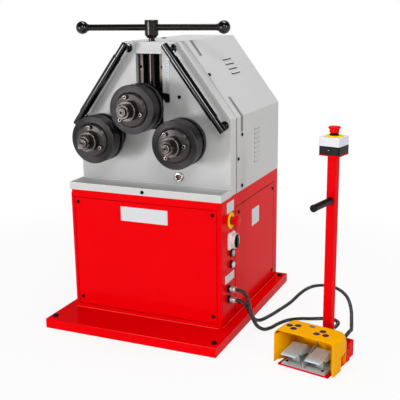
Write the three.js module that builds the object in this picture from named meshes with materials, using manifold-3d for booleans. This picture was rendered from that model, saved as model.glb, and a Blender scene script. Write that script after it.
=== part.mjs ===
// Ring roller with a free-standing foot pedal and emergency stop pedestal.
// Millimetres, +Z up, +X to the machine's right, rollers facing -Y.
// The origin is the centre of the underside of the base, on the floor.

import * as THREE from 'three';
import { mergeVertices } from 'three/addons/utils/BufferGeometryUtils.js';
import Module from 'manifold-3d';

const wasm = await Module();
wasm.setup();

// Clearances and facets
const seatGap = 0.3;
const runGap = 0.4;
const overlap = 0.5;
const reach = 4;
const ringSides = 24;
const roundSides = 14;
const smallSides = 6;

// Base pan and its floor bolts
const base = { width: 668, depth: 782, height: 35, sheet: 5, runnerWidth: 40 };
const baseBolt = { insetX: 20, insetY: 35, headRadius: 10, headHeight: 7, shankRadius: 6, floorGap: 3 };

// Cabinet
const cabinet = { width: 590, depth: 616, top: 490, wall: 3, bedThickness: 8, cornerRadius: 12,
  frontInset: 148 };
const frontPanel = { margin: 17, bottom: 52, topMargin: 29, screwInset: 14, screwRise: 27, screwDrop: 16 };
const sidePanel = {
  frontMargin: 135, backMargin: 56, bottom: 45, topMargin: 48,
  screwFront: 32, screwBack: 14, screwRise: 30, screwDrop: 24,
};
const panelSeat = { outside: 16, inside: 40, sheet: 2, slack: 1.2, cornerRadius: 2 };

// Button head screws that hold panels and cover
const screw = { headRadius: 6, headHeight: 3.4, shankRadius: 2.8, holeRadius: 3.3, shank: 9 };

// Drip tray along the foot of the head
const tray = { overhang: 2, front: 2, height: 26, wall: 2.5, screwHeight: 12 };

// Head: front plate, inner plate and sheet cover share one outline
const head = { shoulder: 756, top: 1013, topHalfWidth: 103, frontInset: 93, plate: 54 };
const plateRib = { face: 28, rim: 24, bossRadius: 62 };
const cover = { backInset: 7, sheet: 2.5 };
const innerPlate = { setBack: 43, thickness: 20, coverGap: 1 };

// Slot, rails, slide and its screw; all measured from the slot's centre line
const slot = { centreX: -8, halfWidth: 51, bottom: 710, railOpening: 32, railRecess: 18 };
const bridge = { height: 41 };
const railScrew = { drop: 46, recess: 6, depth: 7, radius: 4.6, headDrop: 2 };
const slide = { height: 124, depth: 66, keeperHalfWidth: 58, socketRadius: 12.4, socketDepth: 22 };
const leadScrew = { radius: 17, setBack: 27, collarRadius: 24, collarHeight: 8, neckRadius: 11,
  neckBottom: 1008 };
const hub = { radius: 24, bottom: 1024, taperHeight: 10, barHeight: 35.5, height: 61, bottomRadius: 16 };
const bar = { radius: 11, halfLength: 256, ballRadius: 22.5, turn: 9 };
const scale = { offset: 71.5, width: 15, bottom: 836, length: 129, thickness: 2 };
const pointer = {
  thickness: 3, tipDrop: 49, width: 15, standOff: 3,
  rootInset: 18, rootTop: 14, shoulderDrop: 22, rootBottom: 32, kneeOut: 2, footInset: 3, footMargin: 2,
};

// Roller stacks
const rollers = { lowerSpan: 312, lowerHeight: 685, topHeight: 796 };
const stack = {
  front: -139, discRadius: 83, rearRing: 15, groove: 18, grooveRadius: 64, middleRing: 25, frontRing: 22,
  boreRadius: 20.6, chamfer: 2.5, seam: 1,
};
const flange = {
  radius: 59, faceRadius: 53, thickness: 14, rimShare: 0.6, screws: 3, screwCircle: 46, screwRadius: 6.5,
  screwHeight: 9,
};
const spin = { lowerLeft: -0.03, lowerRight: -0.57, top: -0.26 };
const nut = { washerRadius: 34, washer: 25, radius: 25, length: 23, slotWidth: 7, slotDepth: 4, slots: 4 };
const shaft = {
  threadRadius: 15, ringRadius: 20, journalRadius: 22.5, shoulderRadius: 32, shoulder: 4,
  endStub: 8, centreHole: 4, tail: 5, slideInset: 4,
};
const housing = { radius: 46, length: 50, flangeRadius: 56, flangeThickness: 9 };

// Gear drive behind the front plate
const gear = { module: 10, wheelTeeth: 24, pinionTeeth: 13, setBack: 13.5, width: 28, addendum: 0.8,
  dedendum: 1.15 };
const tooth = { thicknessShare: 0.39, flankLean: 0.36 };
const pinionShaft = { radius: 15, boreRadius: 15.4 };
const gearbox = { width: 130, depth: 148, height: 168, cornerRadius: 10, pinionRise: 70 };
const motor = { radius: 62, length: 196, flangeRadius: 70, flangeThickness: 10, wormRise: 63 };

// Cover louvres, slots and their places
const louvre = { height: 4, depth: 9, sheet: 1.4 };
const slantLouvres = { count: 4, length: 84, pitch: 20.5, along: 171, setBack: 244 };
const sideLouvres = { count: 8, length: 56, pitch: 17.4, top: 700, setBack: 210 };
const coverSlot = { width: 9, setBack: 53, upperLength: 66, lowerLength: 80, lowerDrop: 55 };
const coverScrews = { setBack: 52, lowHeight: 508, highHeight: 691, rimSetBack: 16, rimHeight: 610,
  slantAlong: 178 };
const plateScrew = { x: 106, z: 827 };

// Diagonal support bars on the front plate
const sideBar = {
  inset: 28, footAlong: -3, topAlong: 314, standOff: 45, gripRadius: 15, endRadius: 12.5,
  overhang: 19, gripStart: 54, postRadius: 8, rosetteRadius: 15, rosetteHeight: 6,
};
const guideSocket = {
  x: 99, z: 545, rimRadius: 16.5, rim: 7, shankRadius: 13.6, shankDepth: 34, holeRadius: 10, coreRecess: 1,
};

// Controls on the right side of the cabinet, set back from its front face
const controls = {
  setBack: 90, holeRadius: 11.4, barrelRadius: 10.8, blockSize: 34, blockDepth: 42, blockGap: 6,
  stopHeight: 407, switchHeight: 335, upperButtonHeight: 290, lowerButtonHeight: 247,
};
const estop = {
  discRadius: 29, disc: 3.2, collarRadius: 14.5, collarHeight: 12, boreRadius: 8.5, boreFloor: 1.6,
  stemRadius: 8, stemFoot: 6.6, neckFoot: 17, neckRadius: 13, underside: 2,
  headFoot: 26, headRadius: 19.5, headTop: 32, headEdge: 3, crownRadius: 15, crown: 34,
};
const mainSwitch = {
  plate: 60, plateDepth: 6, cornerRadius: 4, drumRadius: 27, drumDepth: 13, knobRadius: 24, knobDepth: 4,
  gripWidth: 14, gripDepth: 6, gripInset: 1, pinRadius: 4, pinDepth: 14, pinHole: 16,
};
const pushButton = { bezelRadius: 14, bezel: 9, capRadius: 11.3, capFoot: 5.6, capTop: 13, boreRadius: 11.8,
  boreFloor: 1.8 };
const gland = {
  setBack: 62, upper: 165, lower: 126, baseRadius: 13, base: 8, nutRadius: 10.5, end: 30,
  barrelRadius: 9.4, inside: 8, holeRadius: 10.2,
};
const glandTip = { length: 5, inset: 1.5 };
const glandPlate = { gap: 4, sheet: 3 };
const wiringPlate = { x: 120, width: 380, height: 330, sheet: 3, foot: 50 };
const contactor = { count: 4, width: 46, height: 84, depth: 78, pitch: 62, rise: 170 };

// Pedestal and foot switch, turned a little away from the machine
const pedestal = {
  x: 625, y: -372, turn: -12, plateHalfWidth: 90, plateFront: -2, plate: 5, wallHeight: 40, wallStart: 62,
  wall: 3,
  boxHalfWidth: 83, boxFront: 156, boxBack: 198.5, boxHeight: 55,
};
const post = { width: 30, wall: 2.5, y: 177, top: 673, capSheet: 3, capWidth: 70, cornerRadius: 3 };
const postHandle = { radius: 12, edge: 2, height: 526, length: 118, pegRadius: 5, peg: 12 };
const stopBox = { size: 70, cornerRadius: 4, lower: 27, lid: 28, plugRadius: 7.5, plug: 3, plugHeight: 12,
  wall: 2.5, stub: 20 };
const footSwitch = { halfWidth: 77, front: 0, depth: 138, plate: 6, cheek: 3, rearWallY: 103.7,
  holeInset: 12, holeRadius: 3.5 };
const divider = { thickness: 4, front: 0, noseHeight: 16, back: 76, height: 46 };
const cheek = { front: 26, topFront: 8, above: 16, below: 8 };
const hanger = { inset: 12, halfWidth: 8, length: 14, sheet: 3 };
const pedal = {
  inner: 16.2, outer: 68.6, front: -18, frontHeight: 51, back: 66, backHeight: 62, sheet: 4,
  pinY: 88, pinHeight: 34, hubRadius: 9, pinRadius: 4, pinEnd: 3,
  web: 3, webFront: 14, webNose: 6, webDrop: 10, webHeel: 4,
};
const microSwitch = { width: 26, depth: 34, height: 20, y: 34 };
const hood = {
  halfWidth: 105.8, bottom: 6.3, top: 121.3, skirt: 56, cornerRadius: 18, wall: 3, cornerSteps: 3,
  rearBottom: 54, shoulderY: 98, shoulderHalf: 100, shoulderRadius: 22,
  backY: 110, backHalf: 98, backTop: 94, backRadius: 10,
};
const pedalGland = {
  x: 70, z: 78, baseRadius: 11, base: 5, nutRadius: 9.5, end: 25, barrelRadius: 4.5, inside: 4,
  holeRadius: 5.2,
};
const postGland = { ...pedalGland, height: 68, end: 21 };

// Conduits: radius, facets and the points that they pass through
const conduit = { radius: 6.5, sides: 8, straight: 24 };
const stopConduit = {
  steps: 30,
  points: [
    [325.5, -181, 165], [337, -181, 165], [352, -181, 161], [364, -181, 149], [371, -181, 131],
    [376, -180, 107],
    [381, -176, 80], [388, -166, 50], [398, -151, 25], [413, -131, 10], [428, -104, 7], [443, -58, 7],
    [466, -15, 7],
    [500, 12, 7.5], [539, 16, 12], [574, 1, 24], [611, -29, 42], [646, -68, 60],
  ],
  behindPost: [[-7, 267, 68], [-1, 242, 68]],
};
const pedalConduit = {
  steps: 36,
  points: [
    [325.5, -181, 126], [337, -181, 126], [350, -180, 121], [361, -175, 109], [368, -164, 88],
    [371, -145, 61],
    [374, -112, 33], [378, -66, 14], [390, -5, 7.5], [407, 70, 7], [423, 154, 7], [431, 258, 7],
    [442, 320, 7],
    [462, 361, 7], [495, 382, 7], [533, 379, 7], [568, 354, 7], [598, 316, 7], [622, 270, 7], [656, 172, 7],
    [680, 74, 7], [701, -20, 16], [716, -98, 43], [725, -165, 67],
  ],
};

// Derived places
const cabinetFront = -base.depth / 2 + cabinet.frontInset;
const cabinetBack = cabinetFront + cabinet.depth;
const cabinetSide = cabinet.width / 2;
const trayHalf = cabinetSide + tray.overhang;
const floorOfCabinet = base.height + seatGap;
const headFoot = cabinet.top + seatGap;
const plateFront = cabinetFront + head.frontInset;
const plateBack = plateFront + head.plate;
const controlY = cabinetFront + controls.setBack;
const glandY = cabinetFront + gland.setBack;
const innerPlateFront = plateBack + innerPlate.setBack;
const innerPlateBack = innerPlateFront + innerPlate.thickness;
const coverBack = cabinetBack - cover.backInset;
const gearFront = plateBack + gear.setBack;
const lowerX = rollers.lowerSpan / 2;
const gearDistance = (gear.module * (gear.wheelTeeth + gear.pinionTeeth)) / 2;
const pinionHeight = rollers.lowerHeight - Math.sqrt(gearDistance ** 2 - lowerX ** 2);
const slideBottom = rollers.topHeight - slide.height / 2;
const slideTop = rollers.topHeight + slide.height / 2;
const barHeight = hub.bottom + hub.barHeight;

// Materials
const finish = (color, roughness, metalness) =>
  new THREE.MeshStandardMaterial({ color, roughness, metalness, flatShading: true });
const redPaint = () => finish(0xd8120c, 0.35, 0.1);
const greyPaint = () => finish(0xc9cccc, 0.45, 0.1);
const blackenedSteel = () => finish(0x3a3838, 0.35, 0.8);
const brightSteel = () => finish(0xb9bbbd, 0.25, 0.9);
const blackGloss = () => finish(0x0b0b0c, 0.12, 0.2);
const blackPlastic = () => finish(0x17181a, 0.5, 0);
const yellowPlastic = () => finish(0xf2ab05, 0.4, 0);
const redPlastic = () => finish(0xd51a1e, 0.3, 0);
const whitePlastic = () => finish(0xe6e8ec, 0.4, 0);
const castGrey = () => finish(0x6d7073, 0.6, 0.5);

// Geometry helpers

// A closed solid from any closed geometry, with its faces pointing out.
function solid(geometry) {
  const bare = geometry.clone();
  for (const name of Object.keys(bare.attributes)) {
    if (name !== 'position') bare.deleteAttribute(name);
  }
  const merged = mergeVertices(bare, 1e-4);
  const at = merged.attributes.position;
  const index = merged.index.array;
  const faces = [];
  let volume = 0;
  const a = new THREE.Vector3();
  const b = new THREE.Vector3();
  const c = new THREE.Vector3();
  for (let i = 0; i < index.length; i += 3) {
    const [p, q, r] = [index[i], index[i + 1], index[i + 2]];
    if (p === q || q === r || r === p) continue;
    faces.push(p, q, r);
    a.fromBufferAttribute(at, p);
    b.fromBufferAttribute(at, q);
    c.fromBufferAttribute(at, r);
    volume += a.dot(b.cross(c));
  }
  if (volume < 0) faces.reverse();
  return new wasm.Manifold(new wasm.Mesh({
    numProp: 3,
    vertProperties: new Float32Array(at.array),
    triVerts: new Uint32Array(faces),
  }));
}

function geometryOf(body) {
  const result = body.getMesh();
  const geometry = new THREE.BufferGeometry();
  geometry.setAttribute('position', new THREE.BufferAttribute(new Float32Array(result.vertProperties), 3));
  geometry.setIndex(new THREE.BufferAttribute(new Uint32Array(result.triVerts), 1));
  return geometry;
}

function join(...parts) {
  return geometryOf(parts.map(solid).reduce((whole, part) => whole.add(part)));
}

function cut(body, ...tools) {
  return geometryOf(tools.map(solid).reduce((whole, tool) => whole.subtract(tool), solid(body)));
}

function block(x0, x1, y0, y1, z0, z1) {
  const geometry = new THREE.BoxGeometry(x1 - x0, y1 - y0, z1 - z0);
  return geometry.translate((x0 + x1) / 2, (y0 + y1) / 2, (z0 + z1) / 2);
}

// Revolves radius and height pairs about an axis; heights run along that axis.
function revolve(profile, axis = 'z', sides = roundSides) {
  const geometry = new THREE.LatheGeometry(profile.map(([r, h]) => new THREE.Vector2(r, h)), sides);
  if (axis === 'z') geometry.rotateX(Math.PI / 2);
  if (axis === 'x') geometry.rotateZ(-Math.PI / 2);
  return geometry;
}

function disc(radius, low, high, axis = 'z', sides = roundSides) {
  return revolve([[0, low], [radius, low], [radius, high], [0, high]], axis, sides);
}

// A disc cutter that clears a round piece of the given radius at every facet.
function bore(radius, low, high, axis = 'z', sides = roundSides) {
  return disc(radius / Math.cos(Math.PI / sides), low, high, axis, sides);
}

function outline(points) {
  return new THREE.Shape(points.map(([x, y]) => new THREE.Vector2(x, y)));
}

// An outline drawn in X and Z, extruded from y0 to y1.
function prismY(shape, y0, y1, curveSegments = 6) {
  const geometry = new THREE.ExtrudeGeometry(shape, { depth: y1 - y0, bevelEnabled: false, curveSegments });
  return geometry.rotateX(Math.PI / 2).translate(0, y1, 0);
}

// An outline drawn in X and Y, extruded from z0 to z1.
function prismZ(shape, z0, z1, curveSegments = 6) {
  const geometry = new THREE.ExtrudeGeometry(shape, { depth: z1 - z0, bevelEnabled: false, curveSegments });
  return geometry.translate(0, 0, z0);
}

// An outline drawn in Y and Z, extruded from x0 to x1.
function prismX(shape, x0, x1, curveSegments = 6) {
  const geometry = new THREE.ExtrudeGeometry(shape, { depth: x1 - x0, bevelEnabled: false, curveSegments });
  return geometry.rotateX(Math.PI / 2).rotateZ(Math.PI / 2).translate(x0, 0, 0);
}

function roundedRectangle(x0, x1, y0, y1, radius) {
  const shape = new THREE.Shape();
  shape.moveTo(x0 + radius, y0);
  shape.lineTo(x1 - radius, y0);
  shape.absarc(x1 - radius, y0 + radius, radius, -Math.PI / 2, 0);
  shape.lineTo(x1, y1 - radius);
  shape.absarc(x1 - radius, y1 - radius, radius, 0, Math.PI / 2);
  shape.lineTo(x0 + radius, y1);
  shape.absarc(x0 + radius, y1 - radius, radius, Math.PI / 2, Math.PI);
  shape.lineTo(x0, y0 + radius);
  shape.absarc(x0 + radius, y0 + radius, radius, Math.PI, Math.PI * 1.5);
  return shape;
}

// Joins rings of points, each with as many points as the next, into one closed skin.
function loft(rings) {
  const count = rings[0].length;
  const position = rings.flat().flatMap((point) => point);
  const index = [];
  for (let row = 0; row < rings.length - 1; row += 1) {
    for (let i = 0; i < count; i += 1) {
      const next = (i + 1) % count;
      const [a, b] = [row * count + i, row * count + next];
      index.push(a, b, b + count, a, b + count, a + count);
    }
  }
  const last = (rings.length - 1) * count;
  for (let i = 1; i < count - 1; i += 1) {
    index.push(0, i + 1, i);
    index.push(last, last + i, last + i + 1);
  }
  const geometry = new THREE.BufferGeometry();
  geometry.setAttribute('position', new THREE.Float32BufferAttribute(position, 3));
  geometry.setIndex(index);
  return geometry;
}

function mirroredX(geometry) {
  return geometryOf(solid(geometry.clone().scale(-1, 1, 1)));
}

function piece(name, geometry, material) {
  const mesh = new THREE.Mesh(geometryOf(solid(geometry)), material);
  mesh.name = name;
  return mesh;
}

function assembly(x, y, z, ...children) {
  const group = new THREE.Group();
  group.position.set(x, y, z);
  group.add(...children);
  return group;
}

// Captive button head screw, joined to the sheet whose outer face is at height zero.
function buttonScrew(axis, shankLength = screw.shank) {
  return revolve([
    [0, -shankLength], [screw.shankRadius, -shankLength], [screw.shankRadius, -overlap],
    [screw.headRadius, -overlap],
    [screw.headRadius * 0.7, screw.headHeight], [0, screw.headHeight],
  ], axis, smallSides);
}

// Base

function basePan() {
  const half = base.width / 2;
  const halfDepth = base.depth / 2;
  const inside = base.height - base.sheet;
  const pan = cut(
    block(-half, half, -halfDepth, halfDepth, 0, base.height),
    block(-half + base.sheet, half - base.sheet, -halfDepth + base.sheet, halfDepth - base.sheet, -reach,
      inside),
  );
  const runnerHalf = base.runnerWidth / 2;
  const runner = block(-runnerHalf, runnerHalf, -halfDepth + overlap, halfDepth - overlap, 0,
    inside + overlap);
  return join(pan, runner, ...boltPlaces().map(([x, y]) => baseBoltSolid().translate(x, y, base.height)));
}

function boltPlaces() {
  const x = base.width / 2 - baseBolt.insetX;
  const y = base.depth / 2 - baseBolt.insetY;
  return [[-x, -y], [x, -y], [x, y], [-x, y]];
}

function baseBoltSolid() {
  const foot = baseBolt.floorGap - base.height;
  return revolve([
    [0, foot], [baseBolt.shankRadius, foot], [baseBolt.shankRadius, -overlap],
    [baseBolt.headRadius, -overlap],
    [baseBolt.headRadius, baseBolt.headHeight * 0.4], [baseBolt.headRadius * 0.6, baseBolt.headHeight],
    [0, baseBolt.headHeight],
  ], 'z', smallSides);
}

const baseNodes = [piece('base_plate', basePan(), redPaint())];

// Cabinet

// Panel seats are drawn facing -Y with their outer face at y = 0, then turned to their side.
function seatLip(x0, x1, z0, z1) {
  const { outside, inside, sheet } = panelSeat;
  return cut(
    block(x0 - outside, x1 + outside, cabinet.wall - overlap, cabinet.wall + sheet,
      Math.max(floorOfCabinet, z0 - outside), z1 + outside),
    block(x0 + inside, x1 - inside, 0, cabinet.wall + reach, z0 + inside, z1 - inside),
  );
}

function seatOpening(x0, x1, z0, z1) {
  const s = panelSeat.slack;
  return block(x0 - s, x1 + s, -reach, cabinet.wall, z0 - s, z1 + s);
}

function panelSheet(x0, x1, z0, z1, screws) {
  const sheet = prismY(roundedRectangle(x0, x1, z0, z1, panelSeat.cornerRadius), 0, cabinet.wall - seatGap,
    1);
  return join(sheet, ...screws.map(([x, z]) => buttonScrew('y').rotateZ(Math.PI).translate(x, 0, z)));
}

function screwHole(x, z, depth) {
  return disc(screw.holeRadius, -reach, depth + reach, 'y', smallSides).translate(x, 0, z);
}

const frontHalf = cabinetSide - frontPanel.margin;
const frontSeat = [-frontHalf, frontHalf, frontPanel.bottom, cabinet.top - frontPanel.topMargin];
const frontScrews = [-1, 1].flatMap((side) =>
  [frontSeat[2] + frontPanel.screwRise, frontSeat[3] - frontPanel.screwDrop].map((z) =>
    [side * (frontHalf - frontPanel.screwInset), z]));
const sideSeat = [
  cabinetFront + sidePanel.frontMargin, cabinetBack - sidePanel.backMargin,
  sidePanel.bottom, cabinet.top - sidePanel.topMargin,
];
const sideScrews = [sideSeat[0] + sidePanel.screwFront, sideSeat[1] - sidePanel.screwBack].flatMap((y) =>
  [sideSeat[2] + sidePanel.screwRise, sideSeat[3] - sidePanel.screwDrop].map((z) => [y, z]));

const toFront = (geometry) => geometry.translate(0, cabinetFront, 0);
const toRight = (geometry) => geometry.rotateZ(Math.PI / 2).translate(cabinetSide, 0, 0);

function cabinetShell() {
  const outer = prismZ(
    roundedRectangle(-cabinetSide, cabinetSide, cabinetFront, cabinetBack, cabinet.cornerRadius),
    floorOfCabinet, cabinet.top, 3);
  const w = cabinet.wall;
  const inner = prismZ(
    roundedRectangle(-cabinetSide + w, cabinetSide - w, cabinetFront + w, cabinetBack - w,
      cabinet.cornerRadius - w),
    -reach, cabinet.top - cabinet.bedThickness, 3);
  const shell = join(cut(outer, inner), toFront(seatLip(...frontSeat)), toRight(seatLip(...sideSeat)));
  const lipDepth = cabinet.wall + panelSeat.sheet;
  const controlHeights = [
    controls.stopHeight, controls.switchHeight, controls.upperButtonHeight, controls.lowerButtonHeight,
  ];
  const controlHoles = controlHeights.map((z) =>
    bore(controls.holeRadius, -reach, lipDepth, 'x', smallSides).translate(cabinetSide - w, controlY, z));
  const glandHoles = [gland.upper, gland.lower]
    .map((z) => bore(gland.holeRadius, -reach, lipDepth, 'x', smallSides)
      .translate(cabinetSide - w, glandY, z));
  return cut(
    shell,
    toFront(seatOpening(...frontSeat)),
    toRight(seatOpening(...sideSeat)),
    ...frontScrews.map(([x, z]) => toFront(screwHole(x, z, lipDepth))),
    ...sideScrews.map(([y, z]) => toRight(screwHole(y, z, lipDepth))),
    ...controlHoles,
    ...glandHoles,
  );
}

const cabinetNodes = [
  piece('cabinet_shell', cabinetShell(), redPaint()),
  piece('front_access_panel', toFront(panelSheet(...frontSeat, frontScrews)), redPaint()),
  piece('side_access_panel', toRight(panelSheet(...sideSeat, sideScrews)), redPaint()),
];

// Drip tray

function dripTray() {
  const front = cabinetFront - tray.front;
  const back = plateFront - seatGap;
  const t = tray.wall;
  const pan = cut(
    block(-trayHalf, trayHalf, front, back, headFoot, headFoot + tray.height),
    block(-trayHalf + t, trayHalf - t, front + t, back - t, headFoot + t, headFoot + tray.height + reach),
  );
  return join(pan, buttonScrew('y', t + 2).rotateZ(Math.PI).translate(0, front, headFoot + tray.screwHeight));
}

const trayNodes = [piece('drip_tray', dripTray(), greyPaint())];

// Head

const slantRise = head.top - head.shoulder;
const slantRun = cabinetSide - head.topHalfWidth;
const slantLength = Math.hypot(slantRise, slantRun);
const slantNormal = [slantRise / slantLength, slantRun / slantLength];
const slantAngle = Math.atan2(slantRun, slantRise);

// The head's outline drawn in by an inset on its sides, slants and top.
function headOutline(inset, foot) {
  const level = slantNormal[0] * cabinetSide + slantNormal[1] * head.shoulder - inset;
  const side = cabinetSide - inset;
  const top = head.top - inset;
  const shoulder = (level - slantNormal[0] * side) / slantNormal[1];
  const topHalf = (level - slantNormal[1] * top) / slantNormal[0];
  return outline([[-side, foot], [side, foot], [side, shoulder], [topHalf, top], [-topHalf, top],
    [-side, shoulder]]);
}

// A point on the right slant, measured up from the shoulder and inward from the surface.
function onSlant(along, inward = 0) {
  return [
    cabinetSide - slantNormal[1] * along - slantNormal[0] * inward,
    head.shoulder + slantNormal[0] * along - slantNormal[1] * inward,
  ];
}

const barFoot = onSlant(sideBar.footAlong, sideBar.inset);
const barTop = onSlant(sideBar.topAlong, sideBar.inset);

function frontPlate() {
  const ribs = [
    block(slot.centreX - slot.halfWidth - plateRib.rim, slot.centreX + slot.halfWidth + plateRib.rim,
      plateFront, plateBack + reach, headFoot, head.top),
    ...[-1, 1].map((side) => disc(plateRib.bossRadius, plateFront, plateBack + reach, 'y')
      .translate(slot.centreX + side * lowerX, 0, rollers.lowerHeight)),
    disc(plateRib.rim + pinionShaft.boreRadius, plateFront, plateBack + reach, 'y')
      .translate(slot.centreX, 0, pinionHeight),
  ];
  const pockets = cut(
    prismY(headOutline(plateRib.rim, headFoot + plateRib.rim), plateFront + plateRib.face, plateBack + reach),
    ...ribs,
  );
  const shaftBores = [-1, 1].map((side) =>
    bore(shaft.journalRadius + 2, plateFront - reach, plateBack + reach, 'y')
      .translate(slot.centreX + side * lowerX, 0, rollers.lowerHeight));
  const pinionBore = bore(pinionShaft.boreRadius, plateFront + plateRib.face, plateBack + reach, 'y')
    .translate(slot.centreX, 0, pinionHeight);
  const slideWay = block(slot.centreX - slot.halfWidth, slot.centreX + slot.halfWidth,
    plateFront - reach, plateBack + reach, slot.bottom, head.top + reach);
  const socket = bore(guideSocket.shankRadius + seatGap, plateFront - reach,
    plateFront + guideSocket.shankDepth + seatGap, 'y')
    .translate(guideSocket.x, 0, guideSocket.z);
  const machined = cut(
    prismY(headOutline(0, headFoot), plateFront, plateBack),
    pockets, slideWay, ...shaftBores, pinionBore, socket,
  );
  return join(machined, buttonScrew('y').rotateZ(Math.PI).translate(plateScrew.x, plateFront, plateScrew.z));
}

function innerPlateSolid() {
  const inset = cover.sheet + innerPlate.coverGap;
  const [front, back] = [innerPlateFront - reach, innerPlateBack + reach];
  const shaftBores = [-1, 1].map((side) =>
    bore(shaft.journalRadius + runGap, front, back, 'y')
      .translate(slot.centreX + side * lowerX, 0, rollers.lowerHeight));
  const screwHoles = coverScrewPlaces.map((place) =>
    onCover(disc(screw.holeRadius, -screw.shank - 1, reach, 'x', smallSides), place));
  return cut(
    prismY(headOutline(inset, headFoot), innerPlateFront, innerPlateBack),
    ...shaftBores,
    bore(pinionShaft.boreRadius, front, back, 'y').translate(slot.centreX, 0, pinionHeight),
    ...screwHoles,
    ...screwHoles.map(mirroredX),
  );
}

// A pressed louvre lying along Y on a face at x = 0 that faces +X, open downwards.
function louvreHood(length) {
  const root = -cover.sheet / 2;
  const hood = outline([[root, 0], [0, 0], [louvre.height, -louvre.depth], [root, -louvre.depth]]);
  return prismY(hood, -length / 2, length / 2);
}

function louvreMouth(length) {
  const s = louvre.sheet;
  const behind = -cover.sheet - reach;
  const mouth = outline([
    [behind, -s * 2], [-s, -s * 2], [louvre.height - s, -louvre.depth - reach],
    [behind, -louvre.depth - reach],
  ]);
  const deep = prismY(mouth, -length / 2 + s, length / 2 - s);
  const ledge = block(behind - reach, louvre.height + reach, -length / 2, length / 2, -louvre.depth * 2,
    -louvre.depth);
  return cut(deep, ledge);
}

// Moves something drawn on a face at x = 0 to the right side or the right slant of the cover.
const toSide = (geometry, y, z) => geometry.translate(cabinetSide, y, z);
const toSlant = (geometry, y, along) => {
  const [x, z] = onSlant(along);
  return geometry.rotateY(-slantAngle).translate(x, y, z);
};

function coverLouvres(make) {
  const list = [];
  for (let i = 0; i < slantLouvres.count; i += 1) {
    const along = slantLouvres.along + slantLouvres.pitch * i;
    list.push(toSlant(make(slantLouvres.length), plateBack + slantLouvres.setBack, along));
  }
  for (let i = 0; i < sideLouvres.count; i += 1) {
    const height = sideLouvres.top - sideLouvres.pitch * i;
    list.push(toSide(make(sideLouvres.length), plateBack + sideLouvres.setBack, height));
  }
  return list;
}

function coverSlots() {
  const half = coverSlot.width / 2;
  const depth = cover.sheet + overlap / 2;
  const y = plateBack + coverSlot.setBack;
  const strip = (low, high) => block(-depth, reach * 2, -half, half, low, high);
  return [
    toSlant(strip(slantLength - coverSlot.upperLength, slantLength + reach), y, 0),
    toSlant(strip(-overlap, coverSlot.lowerLength), y, 0),
    toSide(strip(-coverSlot.lowerDrop, overlap), y, head.shoulder),
  ];
}

const coverScrewPlaces = [
  { slant: false, y: plateBack + coverScrews.setBack, at: coverScrews.lowHeight },
  { slant: false, y: plateBack + coverScrews.setBack, at: coverScrews.highHeight },
  { slant: false, y: plateBack + coverScrews.rimSetBack, at: coverScrews.rimHeight },
  { slant: true, y: plateBack + coverScrews.rimSetBack, at: coverScrews.slantAlong },
];
const onCover = (geometry, place) => (place.slant ? toSlant : toSide)(geometry, place.y, place.at);

function headCover() {
  const front = plateBack + seatGap;
  const shell = cut(
    prismY(headOutline(0, headFoot), front, coverBack),
    prismY(headOutline(cover.sheet, headFoot - reach), front - reach, coverBack - cover.sheet),
  );
  const hoods = coverLouvres(louvreHood);
  const mouths = coverLouvres(louvreMouth);
  const screws = coverScrewPlaces.map((place) => onCover(buttonScrew('x'), place));
  const raised = [...hoods, ...screws];
  const tools = [...mouths, ...coverSlots()];
  return cut(join(shell, ...raised, ...raised.map(mirroredX)), ...tools, ...tools.map(mirroredX));
}

// The rail right of the slot, with a sunk screw near its top.
function guideRail() {
  const [inner, outer] = [slot.railOpening, slot.halfWidth - seatGap];
  const front = plateFront + slot.railRecess;
  const top = head.top - bridge.height - seatGap;
  const sunk = (radius, depth) => disc(radius, -reach, depth, 'y', smallSides)
    .translate((inner + outer) / 2, front, top - railScrew.drop);
  const rail = cut(
    block(inner, outer, front, plateBack, slot.bottom + seatGap, top),
    sunk(railScrew.recess, railScrew.depth),
  );
  const screwHead = cut(sunk(railScrew.radius, railScrew.depth + overlap),
    sunk(railScrew.recess, railScrew.headDrop));
  return join(rail, screwHead);
}

function bridgeBlock() {
  const half = slot.halfWidth - seatGap;
  return cut(
    block(-half, half, plateFront, plateBack, head.top - bridge.height, head.top),
    bore(leadScrew.radius + runGap, head.top - bridge.height - reach, head.top + reach)
      .translate(0, plateFront + leadScrew.setBack, 0),
  ).translate(slot.centreX, 0, 0);
}

function scaleStrip() {
  const half = scale.width / 2;
  const back = plateFront - seatGap;
  return block(-half, half, back - scale.thickness, back, scale.bottom, scale.bottom + scale.length)
    .translate(slot.centreX + scale.offset, 0, 0);
}

const headNodes = [
  piece('head_front_plate', frontPlate(), greyPaint()),
  piece('head_inner_plate', innerPlateSolid(), greyPaint()),
  piece('head_cover', headCover(), greyPaint()),
  piece('guide_rail_left', mirroredX(guideRail()).translate(slot.centreX, 0, 0), brightSteel()),
  piece('guide_rail_right', guideRail().translate(slot.centreX, 0, 0), brightSteel()),
  piece('bridge_block', bridgeBlock(), greyPaint()),
  piece('scale_strip', scaleStrip(), brightSteel()),
];

// Diagonal support bars

function supportBar() {
  const length = Math.hypot(barTop[0] - barFoot[0], barTop[1] - barFoot[1]) + sideBar.overhang * 2;
  const grip = sideBar.gripStart;
  const lathe = revolve([
    [0, 0], [sideBar.endRadius, 0], [sideBar.endRadius, grip], [sideBar.gripRadius, grip],
    [sideBar.gripRadius, length - grip], [sideBar.endRadius, length - grip], [sideBar.endRadius, length],
    [0, length],
  ]);
  const middle = [(barTop[0] + barFoot[0]) / 2, (barTop[1] + barFoot[1]) / 2];
  return lathe.translate(0, 0, -length / 2).rotateY(-slantAngle)
    .translate(middle[0], plateFront - sideBar.standOff, middle[1]);
}

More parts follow.
